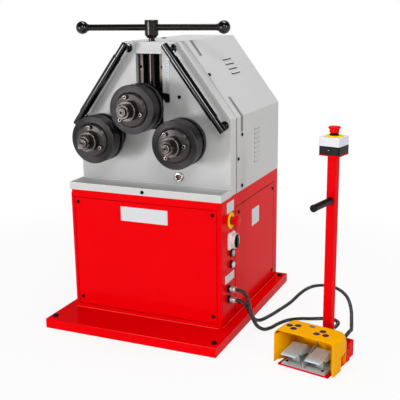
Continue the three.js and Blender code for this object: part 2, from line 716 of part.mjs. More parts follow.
function supportPost([x, z]) {
  const tip = -sideBar.standOff;
  return revolve([
    [0, tip], [sideBar.postRadius, tip], [sideBar.postRadius, -sideBar.rosetteHeight],
    [sideBar.rosetteRadius, -sideBar.rosetteHeight], [sideBar.rosetteRadius, -seatGap], [0, -seatGap],
  ], 'y', 10).translate(x, plateFront, z);
}

const rightBar = join(supportBar(), supportPost(barTop), supportPost(barFoot));
const socketSolid = revolve([
  [guideSocket.holeRadius, -guideSocket.rim], [guideSocket.rimRadius, -guideSocket.rim],
  [guideSocket.rimRadius, -seatGap], [guideSocket.shankRadius, -seatGap],
  [guideSocket.shankRadius, guideSocket.shankDepth],
  [0, guideSocket.shankDepth], [0, guideSocket.coreRecess],
  [guideSocket.holeRadius, guideSocket.coreRecess], [guideSocket.holeRadius, -guideSocket.rim],
], 'y');

const fittingNodes = [
  piece('support_bar_right', rightBar, blackGloss()),
  piece('support_bar_left', mirroredX(rightBar), blackGloss()),
  piece('guide_socket', socketSolid.translate(guideSocket.x, plateFront, guideSocket.z), brightSteel()),
];

// Roller stacks, each drawn about its shaft with y = 0 at the front plate's face

const ringSeam = stack.front + stack.frontRing;
const grooveFront = ringSeam + stack.middleRing;
const rearRingFront = grooveFront + stack.groove;
const rearRingBack = rearRingFront + stack.rearRing;
const flangeFront = stack.front - flange.thickness;
const nutFront = flangeFront - nut.washer - nut.length;

// Three bending rings about one spacer; a fine groove parts the two that touch.
function rollerRings() {
  const [full, c, s] = [stack.discRadius, stack.chamfer, stack.seam];
  return revolve([
    [stack.boreRadius, stack.front], [full - c, stack.front], [full, stack.front + c],
    [full, ringSeam - s], [full - s, ringSeam], [full, ringSeam + s],
    [full, grooveFront], [stack.grooveRadius, grooveFront], [stack.grooveRadius, rearRingFront],
    [full, rearRingFront], [full, rearRingBack], [stack.boreRadius, rearRingBack],
    [stack.boreRadius, stack.front],
  ], 'y', ringSides);
}

function clampFlange() {
  const back = stack.front - seatGap;
  const inner = shaft.ringRadius + seatGap;
  const dish = revolve([
    [inner, flangeFront], [flange.faceRadius, flangeFront],
    [flange.radius, flangeFront + flange.thickness * flange.rimShare],
    [flange.radius, back], [inner, back], [inner, flangeFront],
  ], 'y');
  const heads = Array.from({ length: flange.screws }, (_, i) => {
    const angle = Math.PI * (0.5 + (i * 2) / flange.screws);
    return disc(flange.screwRadius, flangeFront - flange.screwHeight, flangeFront + overlap, 'y', smallSides)
      .translate(Math.cos(angle) * flange.screwCircle, 0, Math.sin(angle) * flange.screwCircle);
  });
  return join(dish, ...heads);
}

function lockNut() {
  const inner = shaft.threadRadius + seatGap;
  const collarBack = flangeFront - seatGap;
  const collarFront = flangeFront - nut.washer;
  const body = revolve([
    [inner, nutFront], [nut.radius, nutFront], [nut.radius, collarFront], [nut.washerRadius, collarFront],
    [nut.washerRadius, collarBack], [inner, collarBack], [inner, nutFront],
  ], 'y');
  const slots = Array.from({ length: nut.slots }, (_, i) =>
    block(-nut.slotWidth / 2, nut.slotWidth / 2, nutFront - reach, collarFront - nut.length / 3,
      nut.radius - nut.slotDepth, nut.radius + reach).rotateY((i * Math.PI * 2) / nut.slots));
  return cut(body, ...slots);
}

// A shaft from its threaded nose to its back end.
function rollerShaft(backEnd) {
  const nose = nutFront - shaft.endStub;
  const step = flangeFront;
  const shoulderFront = rearRingBack + seatGap;
  return revolve([
    [0, nose + shaft.centreHole], [shaft.centreHole, nose], [shaft.threadRadius, nose],
    [shaft.threadRadius, step], [shaft.ringRadius, step], [shaft.ringRadius, shoulderFront],
    [shaft.shoulderRadius, shoulderFront], [shaft.shoulderRadius, shoulderFront + shaft.shoulder],
    [shaft.journalRadius, shoulderFront + shaft.shoulder], [shaft.journalRadius, backEnd], [0, backEnd],
  ], 'y', roundSides);
}

function rollerStack(name, backEnd, angle, ...extra) {
  const turned = (geometry) => geometry.rotateY(angle);
  return [
    piece(`${name}_shaft`, turned(rollerShaft(backEnd)), blackenedSteel()),
    piece(`${name}_rings`, turned(rollerRings()), blackenedSteel()),
    piece(`${name}_flange`, turned(clampFlange()), blackenedSteel()),
    piece(`${name}_lock_nut`, turned(lockNut()), blackenedSteel()),
    ...extra,
  ];
}

// Spur gears

function gearOutline(teeth, holeRadius) {
  const pitchRadius = (gear.module * teeth) / 2;
  const tip = pitchRadius + gear.module * gear.addendum;
  const root = pitchRadius - gear.module * gear.dedendum;
  const pitchAngle = (Math.PI * 2) / teeth;
  const halfAt = (radius) => {
    const halfThickness = (pitchAngle * tooth.thicknessShare * pitchRadius) / 2 - (radius - pitchRadius) * tooth.flankLean;
    return halfThickness / radius;
  };
  const points = [];
  for (let i = 0; i < teeth; i += 1) {
    const middle = i * pitchAngle;
    for (const [radius, side] of [[root, -1], [tip, -1], [tip, 1], [root, 1]]) {
      const angle = middle + side * halfAt(radius);
      points.push([Math.cos(angle) * radius, Math.sin(angle) * radius]);
    }
  }
  const shape = outline(points);
  const hole = new THREE.Path();
  hole.absarc(0, 0, holeRadius, 0, Math.PI * 2, true);
  shape.holes.push(hole);
  return shape;
}

const gearAngles = [-1, 1].map((side) => Math.atan2(rollers.lowerHeight - pinionHeight, side * lowerX));
const pinionPhase = gearAngles[0];

// The angle of a wheel's first tooth, so that its gap faces the pinion's tooth.
function wheelPhase(direction) {
  const pinionPart = ((direction - pinionPhase) * gear.pinionTeeth) / (Math.PI * 2);
  return direction + Math.PI - ((0.5 - pinionPart) * Math.PI * 2) / gear.wheelTeeth;
}

// Angles run from +X towards +Z, which is a turn about -Y.
const gearBack = gearFront + gear.width;

function driveWheel(direction) {
  const shape = gearOutline(gear.wheelTeeth, shaft.journalRadius + 1);
  return prismY(shape, gearFront - plateFront, gearBack - plateFront, 7).rotateY(-wheelPhase(direction));
}

function pinionSolid() {
  const toothed = prismY(gearOutline(gear.pinionTeeth, pinionShaft.radius / 2), gearFront, gearBack, 5);
  const axle = disc(pinionShaft.radius, plateFront + plateRib.face + seatGap,
    innerPlateBack + gearbox.depth / 2, 'y');
  return join(toothed, axle).rotateY(-pinionPhase).translate(slot.centreX, 0, pinionHeight);
}

const shaftBack = innerPlateBack + shaft.tail - plateFront;
const lowerAt = (side) => [slot.centreX + side * lowerX, plateFront, rollers.lowerHeight];

const leftStack = assembly(...lowerAt(-1), ...rollerStack('lower_left', shaftBack, spin.lowerLeft,
  piece('drive_gear_left', driveWheel(gearAngles[0]), brightSteel())));
const rightStack = assembly(...lowerAt(1), ...rollerStack('lower_right', shaftBack, spin.lowerRight,
  piece('drive_gear_right', driveWheel(gearAngles[1]), brightSteel())));
const topStack = assembly(slot.centreX, plateFront, rollers.topHeight,
  ...rollerStack('top_roller', slide.depth - shaft.slideInset, spin.top));

// Flanged bearing housing of a lower shaft, pierced right through for it.
function housingSolid() {
  const inner = (shaft.journalRadius + runGap) / Math.cos(Math.PI / roundSides);
  return revolve([
    [inner, -housing.length], [housing.radius, -housing.length], [housing.radius, -housing.flangeThickness],
    [housing.flangeRadius, -housing.flangeThickness], [housing.flangeRadius, -seatGap], [inner, -seatGap],
    [inner, -housing.length],
  ], 'y');
}

const driveNodes = [
  piece('bearing_housing_left', housingSolid().translate(...lowerAt(-1)), blackenedSteel()),
  piece('bearing_housing_right', housingSolid().translate(...lowerAt(1)), blackenedSteel()),
  piece('drive_pinion', pinionSolid(), brightSteel()),
];

// Slide, pointer and screw

function slideBlock() {
  const half = slot.halfWidth - runGap;
  const web = slot.railOpening - runGap;
  const railFront = slot.railRecess - runGap;
  const keeper = head.plate + runGap;
  const section = outline([
    [-half, 0], [half, 0], [half, railFront], [web, railFront], [web, keeper],
    [slide.keeperHalfWidth, keeper],
    [slide.keeperHalfWidth, slide.depth], [-slide.keeperHalfWidth, slide.depth],
    [-slide.keeperHalfWidth, keeper],
    [-web, keeper], [-web, railFront], [-half, railFront],
  ]);
  const bodyBlock = prismZ(section, slideBottom, slideTop);
  const nose = disc(housing.radius, -housing.length, overlap, 'y').translate(0, 0, rollers.topHeight);
  const shaftBore = bore(shaft.journalRadius + runGap, -housing.length - reach, slide.depth + reach, 'y')
    .translate(0, 0, rollers.topHeight);
  const screwSeat = bore(slide.socketRadius, slideTop - slide.socketDepth, slideTop + reach, 'z', 20)
    .translate(0, leadScrew.setBack, 0);
  return cut(join(bodyBlock, nose, slidePointer()), shaftBore, screwSeat);
}

// The pointer is carried by the slide's front face and passes over the scale.
function slidePointer() {
  const right = scale.offset + scale.width / 2;
  const tip = slideTop - pointer.tipDrop;
  const left = slot.halfWidth - pointer.rootInset;
  const [high, low] = [slideTop - pointer.rootTop, slideTop - pointer.rootBottom];
  const plateShape = outline([
    [left, high], [right, slideTop - pointer.shoulderDrop], [right, tip], [right - pointer.width, tip],
    [slot.halfWidth + pointer.kneeOut, low], [left, low],
  ]);
  const rear = -pointer.standOff - seatGap;
  const foot = block(left, slot.halfWidth - pointer.footInset, rear - overlap, overlap,
    low + pointer.footMargin, high - pointer.footMargin);
  return join(prismY(plateShape, rear - pointer.thickness, rear), foot);
}

const slideNodes = assembly(slot.centreX, plateFront, 0, piece('top_slide_block', slideBlock(), castGrey()));

function leadScrewSolid() {
  const foot = slideTop - slide.socketDepth + seatGap + 1;
  const journal = slide.socketRadius - runGap;
  const collarFoot = slideTop + seatGap;
  const top = hub.bottom + hub.height;
  const spindle = revolve([
    [0, foot], [journal, foot], [journal, collarFoot], [leadScrew.collarRadius, collarFoot],
    [leadScrew.collarRadius, collarFoot + leadScrew.collarHeight],
    [leadScrew.radius, collarFoot + leadScrew.collarHeight],
    [leadScrew.radius, leadScrew.neckBottom], [leadScrew.neckRadius, leadScrew.neckBottom],
    [leadScrew.neckRadius, hub.bottom],
    [hub.bottomRadius, hub.bottom], [hub.radius, hub.bottom + hub.taperHeight], [hub.radius, top], [0, top],
  ]);
  const crossHole = bore(bar.radius + seatGap, -hub.radius - reach, hub.radius + reach, 'x', 12)
    .rotateZ(THREE.MathUtils.degToRad(bar.turn)).translate(0, 0, barHeight);
  return cut(spindle, crossHole);
}

function handBar() {
  const balls = [-1, 1].map((side) =>
    new THREE.SphereGeometry(bar.ballRadius, 12, 8).rotateZ(Math.PI / 2)
      .translate(bar.halfLength * side, 0, 0));
  return join(disc(bar.radius, -bar.halfLength, bar.halfLength, 'x', 12), ...balls);
}

const barGroup = assembly(0, 0, barHeight, piece('hand_bar', handBar(), blackGloss()));
barGroup.rotation.z = THREE.MathUtils.degToRad(bar.turn);
const screwGroup = assembly(slot.centreX, plateFront + leadScrew.setBack, 0,
  piece('hand_screw', leadScrewSolid(), blackenedSteel()), barGroup);

// Gearbox and motor, inside the cover

const gearboxFront = innerPlateBack + seatGap;
const gearboxTop = pinionHeight - gearbox.pinionRise + gearbox.height;
const wormHeight = pinionHeight + motor.wormRise;
const wormY = gearboxFront + gearbox.depth / 2;

function gearboxSolid() {
  const half = gearbox.width / 2;
  const bodyShape = roundedRectangle(-half, half, pinionHeight - gearbox.pinionRise, gearboxTop,
    gearbox.cornerRadius);
  return cut(
    prismY(bodyShape, gearboxFront, gearboxFront + gearbox.depth, 4).translate(slot.centreX, 0, 0),
    bore(pinionShaft.boreRadius, gearboxFront - reach, wormY + reach, 'y')
      .translate(slot.centreX, 0, pinionHeight),
  );
}

function motorSolid() {
  const start = gearbox.width / 2 - overlap;
  const end = start + motor.length;
  return revolve([
    [0, start], [motor.flangeRadius, start], [motor.flangeRadius, start + motor.flangeThickness],
    [motor.radius, start + motor.flangeThickness], [motor.radius, end], [0, end],
  ], 'x').translate(slot.centreX, wormY, wormHeight);
}

const powerNodes = [piece('gear_motor', join(gearboxSolid(), motorSolid()), castGrey())];

// Cabinet controls, drawn along +X from the cabinet's right face

const atControl = (geometry, z) => geometry.translate(cabinetSide, controlY, z);

// What passes through the wall and the block behind it, joined to a control's front.
function throughWall() {
  const inside = -cabinet.wall - controls.blockGap;
  const half = controls.blockSize / 2;
  return join(
    disc(controls.barrelRadius, inside - overlap, overlap + 1, 'x', smallSides),
    block(inside - controls.blockDepth, inside, -half, half, -half, half),
  );
}

function estopCollar(axis) {
  return revolve([
    [0, seatGap], [estop.discRadius, seatGap], [estop.discRadius, estop.disc],
    [estop.collarRadius, estop.disc],
    [estop.collarRadius, estop.collarHeight], [estop.boreRadius, estop.collarHeight],
    [estop.boreRadius, estop.boreFloor], [0, estop.boreFloor],
  ], axis);
}

function estopButton(axis) {
  return revolve([
    [0, estop.stemFoot], [estop.stemRadius, estop.stemFoot], [estop.stemRadius, estop.neckFoot],
    [estop.neckRadius, estop.neckFoot], [estop.neckRadius, estop.headFoot - estop.underside],
    [estop.headRadius, estop.headFoot], [estop.headRadius, estop.headTop - estop.headEdge],
    [estop.crownRadius, estop.headTop], [0, estop.crown],
  ], axis);
}

function pushBezel(z) {
  const [bezel, { bezelRadius, boreRadius, boreFloor }] = [pushButton.bezel, pushButton];
  const front = revolve([
    [0, seatGap], [bezelRadius, seatGap], [bezelRadius, bezel], [boreRadius, bezel],
    [boreRadius, boreFloor], [0, boreFloor],
  ], 'x');
  return join(front, disc(controls.barrelRadius, -cabinet.wall - controls.blockGap - overlap, overlap + 1,
    'x', smallSides)).translate(0, 0, z);
}

// Both bezels share one contact block behind the wall.
function buttonBezels() {
  const inside = -cabinet.wall - controls.blockGap;
  const half = controls.blockSize / 2;
  const [low, high] = [controls.lowerButtonHeight, controls.upperButtonHeight];
  const contacts = block(inside - controls.blockDepth, inside, -half, half, low - half, high + half);
  return atControl(join(contacts, pushBezel(low), pushBezel(high)), 0);
}

function pushCap() {
  return revolve([
    [0, pushButton.capFoot], [pushButton.capRadius, pushButton.capFoot],
    [pushButton.capRadius, pushButton.capTop], [0, pushButton.capTop],
  ], 'x');
}

const drumEnd = mainSwitch.plateDepth + mainSwitch.drumDepth;

function mainSwitchBody() {
  const half = mainSwitch.plate / 2;
  const front = prismX(roundedRectangle(-half, half, -half, half, mainSwitch.cornerRadius), seatGap,
    mainSwitch.plateDepth, 2);
  const drum = revolve([
    [0, mainSwitch.plateDepth - overlap], [mainSwitch.drumRadius, mainSwitch.plateDepth - overlap],
    [mainSwitch.drumRadius, drumEnd], [0, drumEnd],
  ], 'x');
  return cut(
    join(front, drum, throughWall()),
    bore(mainSwitch.pinRadius + runGap, drumEnd - mainSwitch.pinHole, drumEnd + reach, 'x', smallSides),
  );
}

function mainSwitchKnob() {
  const foot = drumEnd + runGap;
  const gripHalf = mainSwitch.gripWidth / 2;
  const gripLength = mainSwitch.knobRadius - mainSwitch.gripInset;
  const grip = prismX(roundedRectangle(-gripHalf, gripHalf, -gripLength, gripLength, mainSwitch.cornerRadius),
    foot + mainSwitch.knobDepth - overlap, foot + mainSwitch.knobDepth + mainSwitch.gripDepth, 2);
  return join(
    disc(mainSwitch.knobRadius, foot, foot + mainSwitch.knobDepth, 'x'),
    disc(mainSwitch.pinRadius, drumEnd - mainSwitch.pinDepth, foot + 1, 'x', smallSides),
    grip,
  );
}

// Conduit gland: a hexagonal base, a round nut and a barrel that goes through the wall.
function conduitGland(size, wall, axis) {
  const tipRadius = size.nutRadius - glandTip.inset;
  return join(
    disc(size.baseRadius, seatGap, size.base, axis, smallSides),
    disc(size.barrelRadius, -wall - size.inside, size.base, axis, smallSides),
    revolve([
      [0, size.base - overlap], [size.nutRadius, size.base - overlap],
      [size.nutRadius, size.end - glandTip.length],
      [tipRadius, size.end - glandTip.length], [tipRadius, size.end], [0, size.end],
    ], axis, 12),
  );
}

// The two glands on the cabinet share one back plate behind the wall.
function cabinetGlands() {
  const inside = -cabinet.wall - glandPlate.gap;
  const half = gland.baseRadius;
  const backPlate = block(inside - glandPlate.sheet, inside, -half, half, gland.lower - half,
    gland.upper + half);
  return join(
    backPlate,
    ...[gland.upper, gland.lower].map((z) => conduitGland(gland, cabinet.wall, 'x').translate(0, 0, z)),
  ).translate(cabinetSide, glandY, 0);
}

const controlNodes = [
  piece('estop_collar_cabinet', atControl(join(estopCollar('x'), throughWall()), controls.stopHeight),
    yellowPlastic()),
  piece('estop_button_cabinet', atControl(estopButton('x'), controls.stopHeight), redPlastic()),
  piece('main_switch_body', atControl(mainSwitchBody(), controls.switchHeight), whitePlastic()),
  piece('main_switch_knob', atControl(mainSwitchKnob(), controls.switchHeight), blackPlastic()),
  piece('button_bezels', buttonBezels(), blackPlastic()),
  piece('push_button_upper', atControl(pushCap(), controls.upperButtonHeight), whitePlastic()),
  piece('push_button_lower', atControl(pushCap(), controls.lowerButtonHeight), whitePlastic()),
];

// Wiring plate with its contactors, standing on the base behind the side panel

function wiringPlateSolid() {
  const w = wiringPlate;
  const halfWidth = w.width / 2;
  return join(
    block(w.x, w.x + w.sheet, -halfWidth, halfWidth, floorOfCabinet, floorOfCabinet + w.height),
    block(w.x - w.foot, w.x + overlap, -halfWidth, halfWidth, floorOfCabinet, floorOfCabinet + w.sheet),
  );
}

const contactors = Array.from({ length: contactor.count }, (_, i) => {
  const y = (i - (contactor.count - 1) / 2) * contactor.pitch;
  const x = wiringPlate.x + wiringPlate.sheet - overlap;
  const half = contactor.width / 2;
  return block(x, x + contactor.depth, y - half, y + half, contactor.rise, contactor.rise + contactor.height);
});

const wiringNodes = [
  piece('cabinet_glands', cabinetGlands(), brightSteel()),
  piece('wiring_panel', join(wiringPlateSolid(), ...contactors), castGrey()),
];

// Pedestal, drawn in its own frame with the foot switch facing -Y

function pedestalBase() {
  const p = pedestal;
  const plateSolid = block(-p.plateHalfWidth, p.plateHalfWidth, p.plateFront, p.boxFront + overlap, 0,
    p.plate);
  const walls = [-p.plateHalfWidth, p.plateHalfWidth - p.wall].map((x) => block(
    x, x + p.wall, p.wallStart, p.boxFront + overlap, p.plate - overlap, p.plate + p.wallHeight));
  const box = block(-p.boxHalfWidth, p.boxHalfWidth, p.boxFront, p.boxBack, 0, p.boxHeight);
  return join(plateSolid, ...walls, box);
}

const postFoot = pedestal.boxHeight + seatGap;

function pedestalPost() {
  const half = post.width / 2;
  const inner = half - post.wall;
  const tube = prismZ(roundedRectangle(-half, half, -half, half, post.cornerRadius), postFoot, post.top, 2);
  const inside = block(-inner, inner, -inner, inner, postFoot + post.wall, post.top - post.wall);
  const capHalf = post.capWidth / 2;
  const cap = block(-capHalf, capHalf, -capHalf, capHalf, post.top - overlap, post.top + post.capSheet);
  const pegHole = bore(postHandle.pegRadius + seatGap, -half - reach, 0, 'y', smallSides)
    .translate(0, 0, postHandle.height);
  const wireHole = disc(postGland.holeRadius, 0, half + reach, 'y', smallSides)
    .translate(0, 0, postGland.height);
  return cut(join(tube, cap), inside, pegHole, wireHole).translate(0, post.y, 0);
}

function postHandleSolid() {
  const start = -post.width / 2 - seatGap;
  const end = start - postHandle.length;
  return revolve([
    [0, end], [postHandle.radius - postHandle.edge, end], [postHandle.radius, end + postHandle.edge],
    [postHandle.radius, start], [postHandle.pegRadius, start], [postHandle.pegRadius, start + postHandle.peg],
    [0, start + postHandle.peg],
  ], 'y').translate(0, post.y, postHandle.height);
}

const boxFoot = post.top + post.capSheet + seatGap;
const lidFoot = boxFoot + stopBox.lower + seatGap;
const lidTop = lidFoot + stopBox.lid;

function stopBoxShell(low, high, open) {
  const half = stopBox.size / 2;
  const inner = half - stopBox.wall;
  const outer = prismZ(roundedRectangle(-half, half, -half, half, stopBox.cornerRadius), low, high, 2);
  const hollow = block(-inner, inner, -inner, inner,
    open === 'up' ? low + stopBox.wall : low - reach, open === 'up' ? high + reach : high - stopBox.wall);
  return cut(outer, hollow);
}

function stopBoxLower() {
  const half = stopBox.size / 2;
  const plug = revolve([
    [0, -half - stopBox.plug], [stopBox.plugRadius, -half - stopBox.plug],
    [stopBox.plugRadius, -half + overlap],
    [0, -half + overlap],
  ], 'y').translate(0, 0, boxFoot + stopBox.plugHeight);
  return join(stopBoxShell(boxFoot, boxFoot + stopBox.lower, 'up'), plug).translate(0, post.y, 0);
}

function stopBoxLid() {
  return cut(stopBoxShell(lidFoot, lidTop, 'down'),
    bore(controls.holeRadius, lidTop - stopBox.wall - reach, lidTop + reach, 'z', smallSides))
      .translate(0, post.y, 0);
}

function pedestalCollar() {
  const stub = disc(controls.barrelRadius, -stopBox.wall - stopBox.stub, overlap + 1, 'z', smallSides);
  return join(estopCollar('z'), stub).translate(0, post.y, lidTop);
}

// Foot switch

const switchFloor = pedestal.plate + seatGap;
const switchTop = switchFloor + footSwitch.plate;

function footSwitchFrame() {
  const f = footSwitch;
  const foot = switchTop - overlap;
  const wallBack = f.rearWallY + f.cheek;
  const wallTop = hood.backTop - hood.wall - seatGap;
  const plateSolid = block(-f.halfWidth, f.halfWidth, f.front, f.front + f.depth, switchFloor, switchTop);
  const cheekShape = outline([
    [pedal.pinY - cheek.front, foot], [wallBack, foot], [wallBack, pedal.pinHeight + cheek.above],
    [pedal.pinY - cheek.topFront, pedal.pinHeight + cheek.above],
    [pedal.pinY - cheek.front, pedal.pinHeight - cheek.below],
  ]);
  const cheeks = [-f.halfWidth, f.halfWidth - f.cheek].map((x) => prismX(cheekShape, x, x + f.cheek));
  const dividerShape = outline([
    [divider.front, foot], [f.rearWallY + overlap, foot], [f.rearWallY + overlap, divider.height + switchTop],
    [divider.back, divider.height + switchTop], [divider.front, divider.noseHeight + switchTop],
  ]);
  const dividerSolid = prismX(dividerShape, -divider.thickness / 2, divider.thickness / 2);
  const rearWall = block(-f.halfWidth, f.halfWidth, f.rearWallY, wallBack, foot, wallTop);
  const hangers = [-1, 1].map((side) => block(
    side * (f.halfWidth - hanger.inset) - hanger.halfWidth,
    side * (f.halfWidth - hanger.inset) + hanger.halfWidth,
    f.rearWallY - hanger.length, f.rearWallY + overlap, wallTop - hanger.sheet, wallTop));
  const holes = [-1, 1].map((side) =>
    disc(f.holeRadius, switchFloor - reach, switchTop + reach, 'z', smallSides)
      .translate(side * (f.halfWidth - f.holeInset), f.front + f.holeInset, 0));
  const pin = disc(pedal.pinRadius, -f.halfWidth - pedal.pinEnd, f.halfWidth + pedal.pinEnd, 'x', smallSides)
    .translate(0, pedal.pinY, pedal.pinHeight);
  const wireHole = disc(pedalGland.holeRadius, f.rearWallY - reach, wallBack + reach, 'y', smallSides)
    .translate(pedalGland.x, 0, pedalGland.z);
  const frame = join(plateSolid, ...cheeks, dividerSolid, rearWall, ...hangers, pin, ...microSwitches());
  return cut(frame, ...holes, wireHole);
}

function microSwitches() {
  return [-1, 1].map((side) => {
    const x = (side * (pedal.inner + pedal.outer)) / 2;
    const half = microSwitch.width / 2;
    return block(x - half, x + half, microSwitch.y, microSwitch.y + microSwitch.depth,
      switchTop - overlap, switchTop + microSwitch.height);
  });
}

function pedalSolid(side) {
  const x0 = side > 0 ? pedal.inner : -pedal.outer;
  const x1 = side > 0 ? pedal.outer : -pedal.inner;
  const tread = outline([
    [pedal.front, pedal.frontHeight - pedal.sheet], [pedal.back, pedal.backHeight - pedal.sheet],
    [pedal.back, pedal.backHeight], [pedal.front, pedal.frontHeight],
  ]);
  const slope = (pedal.backHeight - pedal.frontHeight) / (pedal.back - pedal.front);
  const webTop = (y) => pedal.frontHeight - pedal.sheet + (y - pedal.front) * slope + overlap;
  const webShape = outline([
    [pedal.webFront, webTop(pedal.webFront)], [pedal.webFront + pedal.webNose,
      webTop(pedal.webFront) - pedal.webDrop],
    [pedal.pinY - pedal.webHeel, pedal.pinHeight - pedal.webHeel],
    [pedal.pinY, pedal.pinHeight + pedal.webHeel],
    [pedal.back, webTop(pedal.back)],
  ]);
  const webs = [x0, x1 - pedal.web].map((x) => prismX(webShape, x, x + pedal.web));
  const tube = disc(pedal.hubRadius, x0, x1, 'x', 16).translate(0, pedal.pinY, pedal.pinHeight);
  const hole = bore(pedal.pinRadius + runGap, x0 - reach, x1 + reach, 'x', smallSides)
    .translate(0, pedal.pinY, pedal.pinHeight);
  return cut(join(prismX(tread, x0, x1), ...webs, tube), hole);
}

// One cross section of the hood at depth y, open below, its top corners rounded.
function hoodSection(y, half, bottom, top, radius) {
  const points = [[-half, y, bottom]];
  for (const [centreX, from] of [[-half + radius, Math.PI], [half - radius, Math.PI / 2]]) {
    for (let i = 0; i <= hood.cornerSteps; i += 1) {
      const angle = from - (i * Math.PI) / (2 * hood.cornerSteps);
      points.push([centreX + Math.cos(angle) * radius, y, top - radius + Math.sin(angle) * radius]);
    }
  }
  points.push([half, y, bottom]);
  return points;
}

function hoodForm(inset, frontY, skirtBottom, rearBottom) {
  const h = hood;
  const skirtBack = h.skirt + (inset > 0 ? overlap - inset : 0);
  const skirt = loft([frontY, skirtBack].map((y) =>
    hoodSection(y, h.halfWidth - inset, skirtBottom, h.top - inset, h.cornerRadius - inset)));
  const rear = loft([
    hoodSection(h.skirt - overlap - inset, h.halfWidth - inset, rearBottom, h.top - inset,
      h.cornerRadius - inset),
    hoodSection(h.shoulderY - inset, h.shoulderHalf - inset, rearBottom, h.top - inset,
      h.shoulderRadius - inset),
    hoodSection(h.backY - inset, h.backHalf - inset, rearBottom, h.backTop - inset, h.backRadius - inset),
  ]);
  return [skirt, rear];
}

function hoodSolid() {
  const outer = hoodForm(0, 0, hood.bottom, hood.rearBottom);
  const inner = hoodForm(hood.wall, -reach, hood.bottom - reach, hood.rearBottom - reach);
  const glandHole = disc(pedalGland.holeRadius, hood.backY - hood.wall - reach, hood.backY + reach, 'y',
    smallSides)
    .translate(pedalGland.x, 0, pedalGland.z);
  const half = hood.halfWidth - hood.wall;
  const underRear = block(-half, half, -reach, hood.skirt + reach, hood.bottom - reach,
    hood.rearBottom + overlap);
  return cut(join(...outer), ...inner, underRear, glandHole);
}

const hoodGland = conduitGland(pedalGland, hood.wall, 'y').translate(pedalGland.x, hood.backY, pedalGland.z);
const boxGland = conduitGland(postGland, post.wall, 'y')
  .translate(0, post.y + post.width / 2, postGland.height);

const pedestalGroup = assembly(pedestal.x, pedestal.y, 0,
  piece('pedestal_base', pedestalBase(), redPaint()),
  piece('pedestal_post', pedestalPost(), redPaint()),
  piece('post_handle', postHandleSolid(), blackPlastic()),
  piece('stop_box_lower', stopBoxLower(), blackPlastic()),
  piece('stop_box_lid', stopBoxLid(), whitePlastic()),
  piece('estop_collar_pedestal', pedestalCollar(), yellowPlastic()),
  piece('estop_button_pedestal', estopButton('z').translate(0, post.y, lidTop), redPlastic()),
  piece('foot_switch_frame', footSwitchFrame(), castGrey()),
  piece('foot_pedal_left', pedalSolid(-1), brightSteel()),
  piece('foot_pedal_right', pedalSolid(1), brightSteel()),
  piece('gland_foot_switch', hoodGland, brightSteel()),
  piece('gland_post', boxGland, brightSteel()),
  piece('foot_switch_hood', hoodSolid(), yellowPlastic()));
pedestalGroup.rotation.z = THREE.MathUtils.degToRad(pedestal.turn);

// Conduits; each ends square to its gland

function pedestalPoint(x, y, z) {
  const turn = THREE.MathUtils.degToRad(pedestal.turn);
  return [
    pedestal.x + x * Math.cos(turn) - y * Math.sin(turn),
    pedestal.y + x * Math.sin(turn) + y * Math.cos(turn),
    z,
  ];
}

function conduitSolid(points, steps) {
  const path = new THREE.CatmullRomCurve3(points.map((point) => new THREE.Vector3(...point)), false,
    'centripetal');
  const section = new THREE.Shape();
  for (let i = 0; i < conduit.sides; i += 1) {
    const angle = (i * Math.PI * 2) / conduit.sides;
    const [x, y] = [Math.cos(angle) * conduit.radius, Math.sin(angle) * conduit.radius];
    if (i === 0) section.moveTo(x, y);
    else section.lineTo(x, y);
  }
  section.closePath();
  return new THREE.ExtrudeGeometry(section, { extrudePath: path, steps, bevelEnabled: false });
}

const postGlandEnd = post.y + post.width / 2 + postGland.end + seatGap;
const hoodGlandEnd = hood.backY + pedalGland.end + seatGap;
const stopRoute = [
  ...stopConduit.points,
  ...stopConduit.behindPost.map((point) => pedestalPoint(...point)),
  pedestalPoint(0, postGlandEnd, postGland.height),
];
const pedalRoute = [
  ...pedalConduit.points,
  pedestalPoint(pedalGland.x, hoodGlandEnd + conduit.straight, pedalGland.z),
  pedestalPoint(pedalGland.x, hoodGlandEnd, pedalGland.z),
];

const conduitNodes = [
  piece('conduit_estop', conduitSolid(stopRoute, stopConduit.steps), blackPlastic()),
  piece('conduit_pedal', conduitSolid(pedalRoute, pedalConduit.steps), blackPlastic()),
];

// The whole machine

const ringRoller = new THREE.Group();
ringRoller.add(
  ...baseNodes, ...cabinetNodes, ...trayNodes, ...headNodes, ...fittingNodes,
  leftStack, rightStack, topStack, ...driveNodes, slideNodes, screwGroup, ...powerNodes,
  ...controlNodes, ...wiringNodes, pedestalGroup, ...conduitNodes,
);

export default ringRoller;
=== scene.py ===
from functools import partial
from math import asin, cos, pi, radians, sin, tau
import bpy
import bmesh
from mathutils import Matrix, Vector


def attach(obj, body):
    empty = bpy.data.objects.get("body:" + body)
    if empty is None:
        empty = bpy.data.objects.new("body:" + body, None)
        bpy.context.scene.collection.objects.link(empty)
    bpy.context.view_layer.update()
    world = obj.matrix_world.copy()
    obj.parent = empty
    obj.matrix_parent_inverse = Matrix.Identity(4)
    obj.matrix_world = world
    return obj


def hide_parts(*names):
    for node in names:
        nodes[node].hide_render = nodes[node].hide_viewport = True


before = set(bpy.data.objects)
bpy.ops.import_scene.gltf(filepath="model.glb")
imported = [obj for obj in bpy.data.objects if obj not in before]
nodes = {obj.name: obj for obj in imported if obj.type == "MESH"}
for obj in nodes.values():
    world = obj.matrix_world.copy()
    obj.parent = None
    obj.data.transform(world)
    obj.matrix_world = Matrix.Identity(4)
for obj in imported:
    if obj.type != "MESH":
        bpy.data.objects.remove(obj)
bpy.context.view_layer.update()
print("solids loaded:", len(nodes))

# Everything below is drawn in millimetres and turned into metres when it becomes an object.
mm = 0.001
weldDistance = 0.002 * mm


# A dictionary whose entries are also read as attributes.
class Look(dict):
    __getattr__ = dict.__getitem__


# Camera

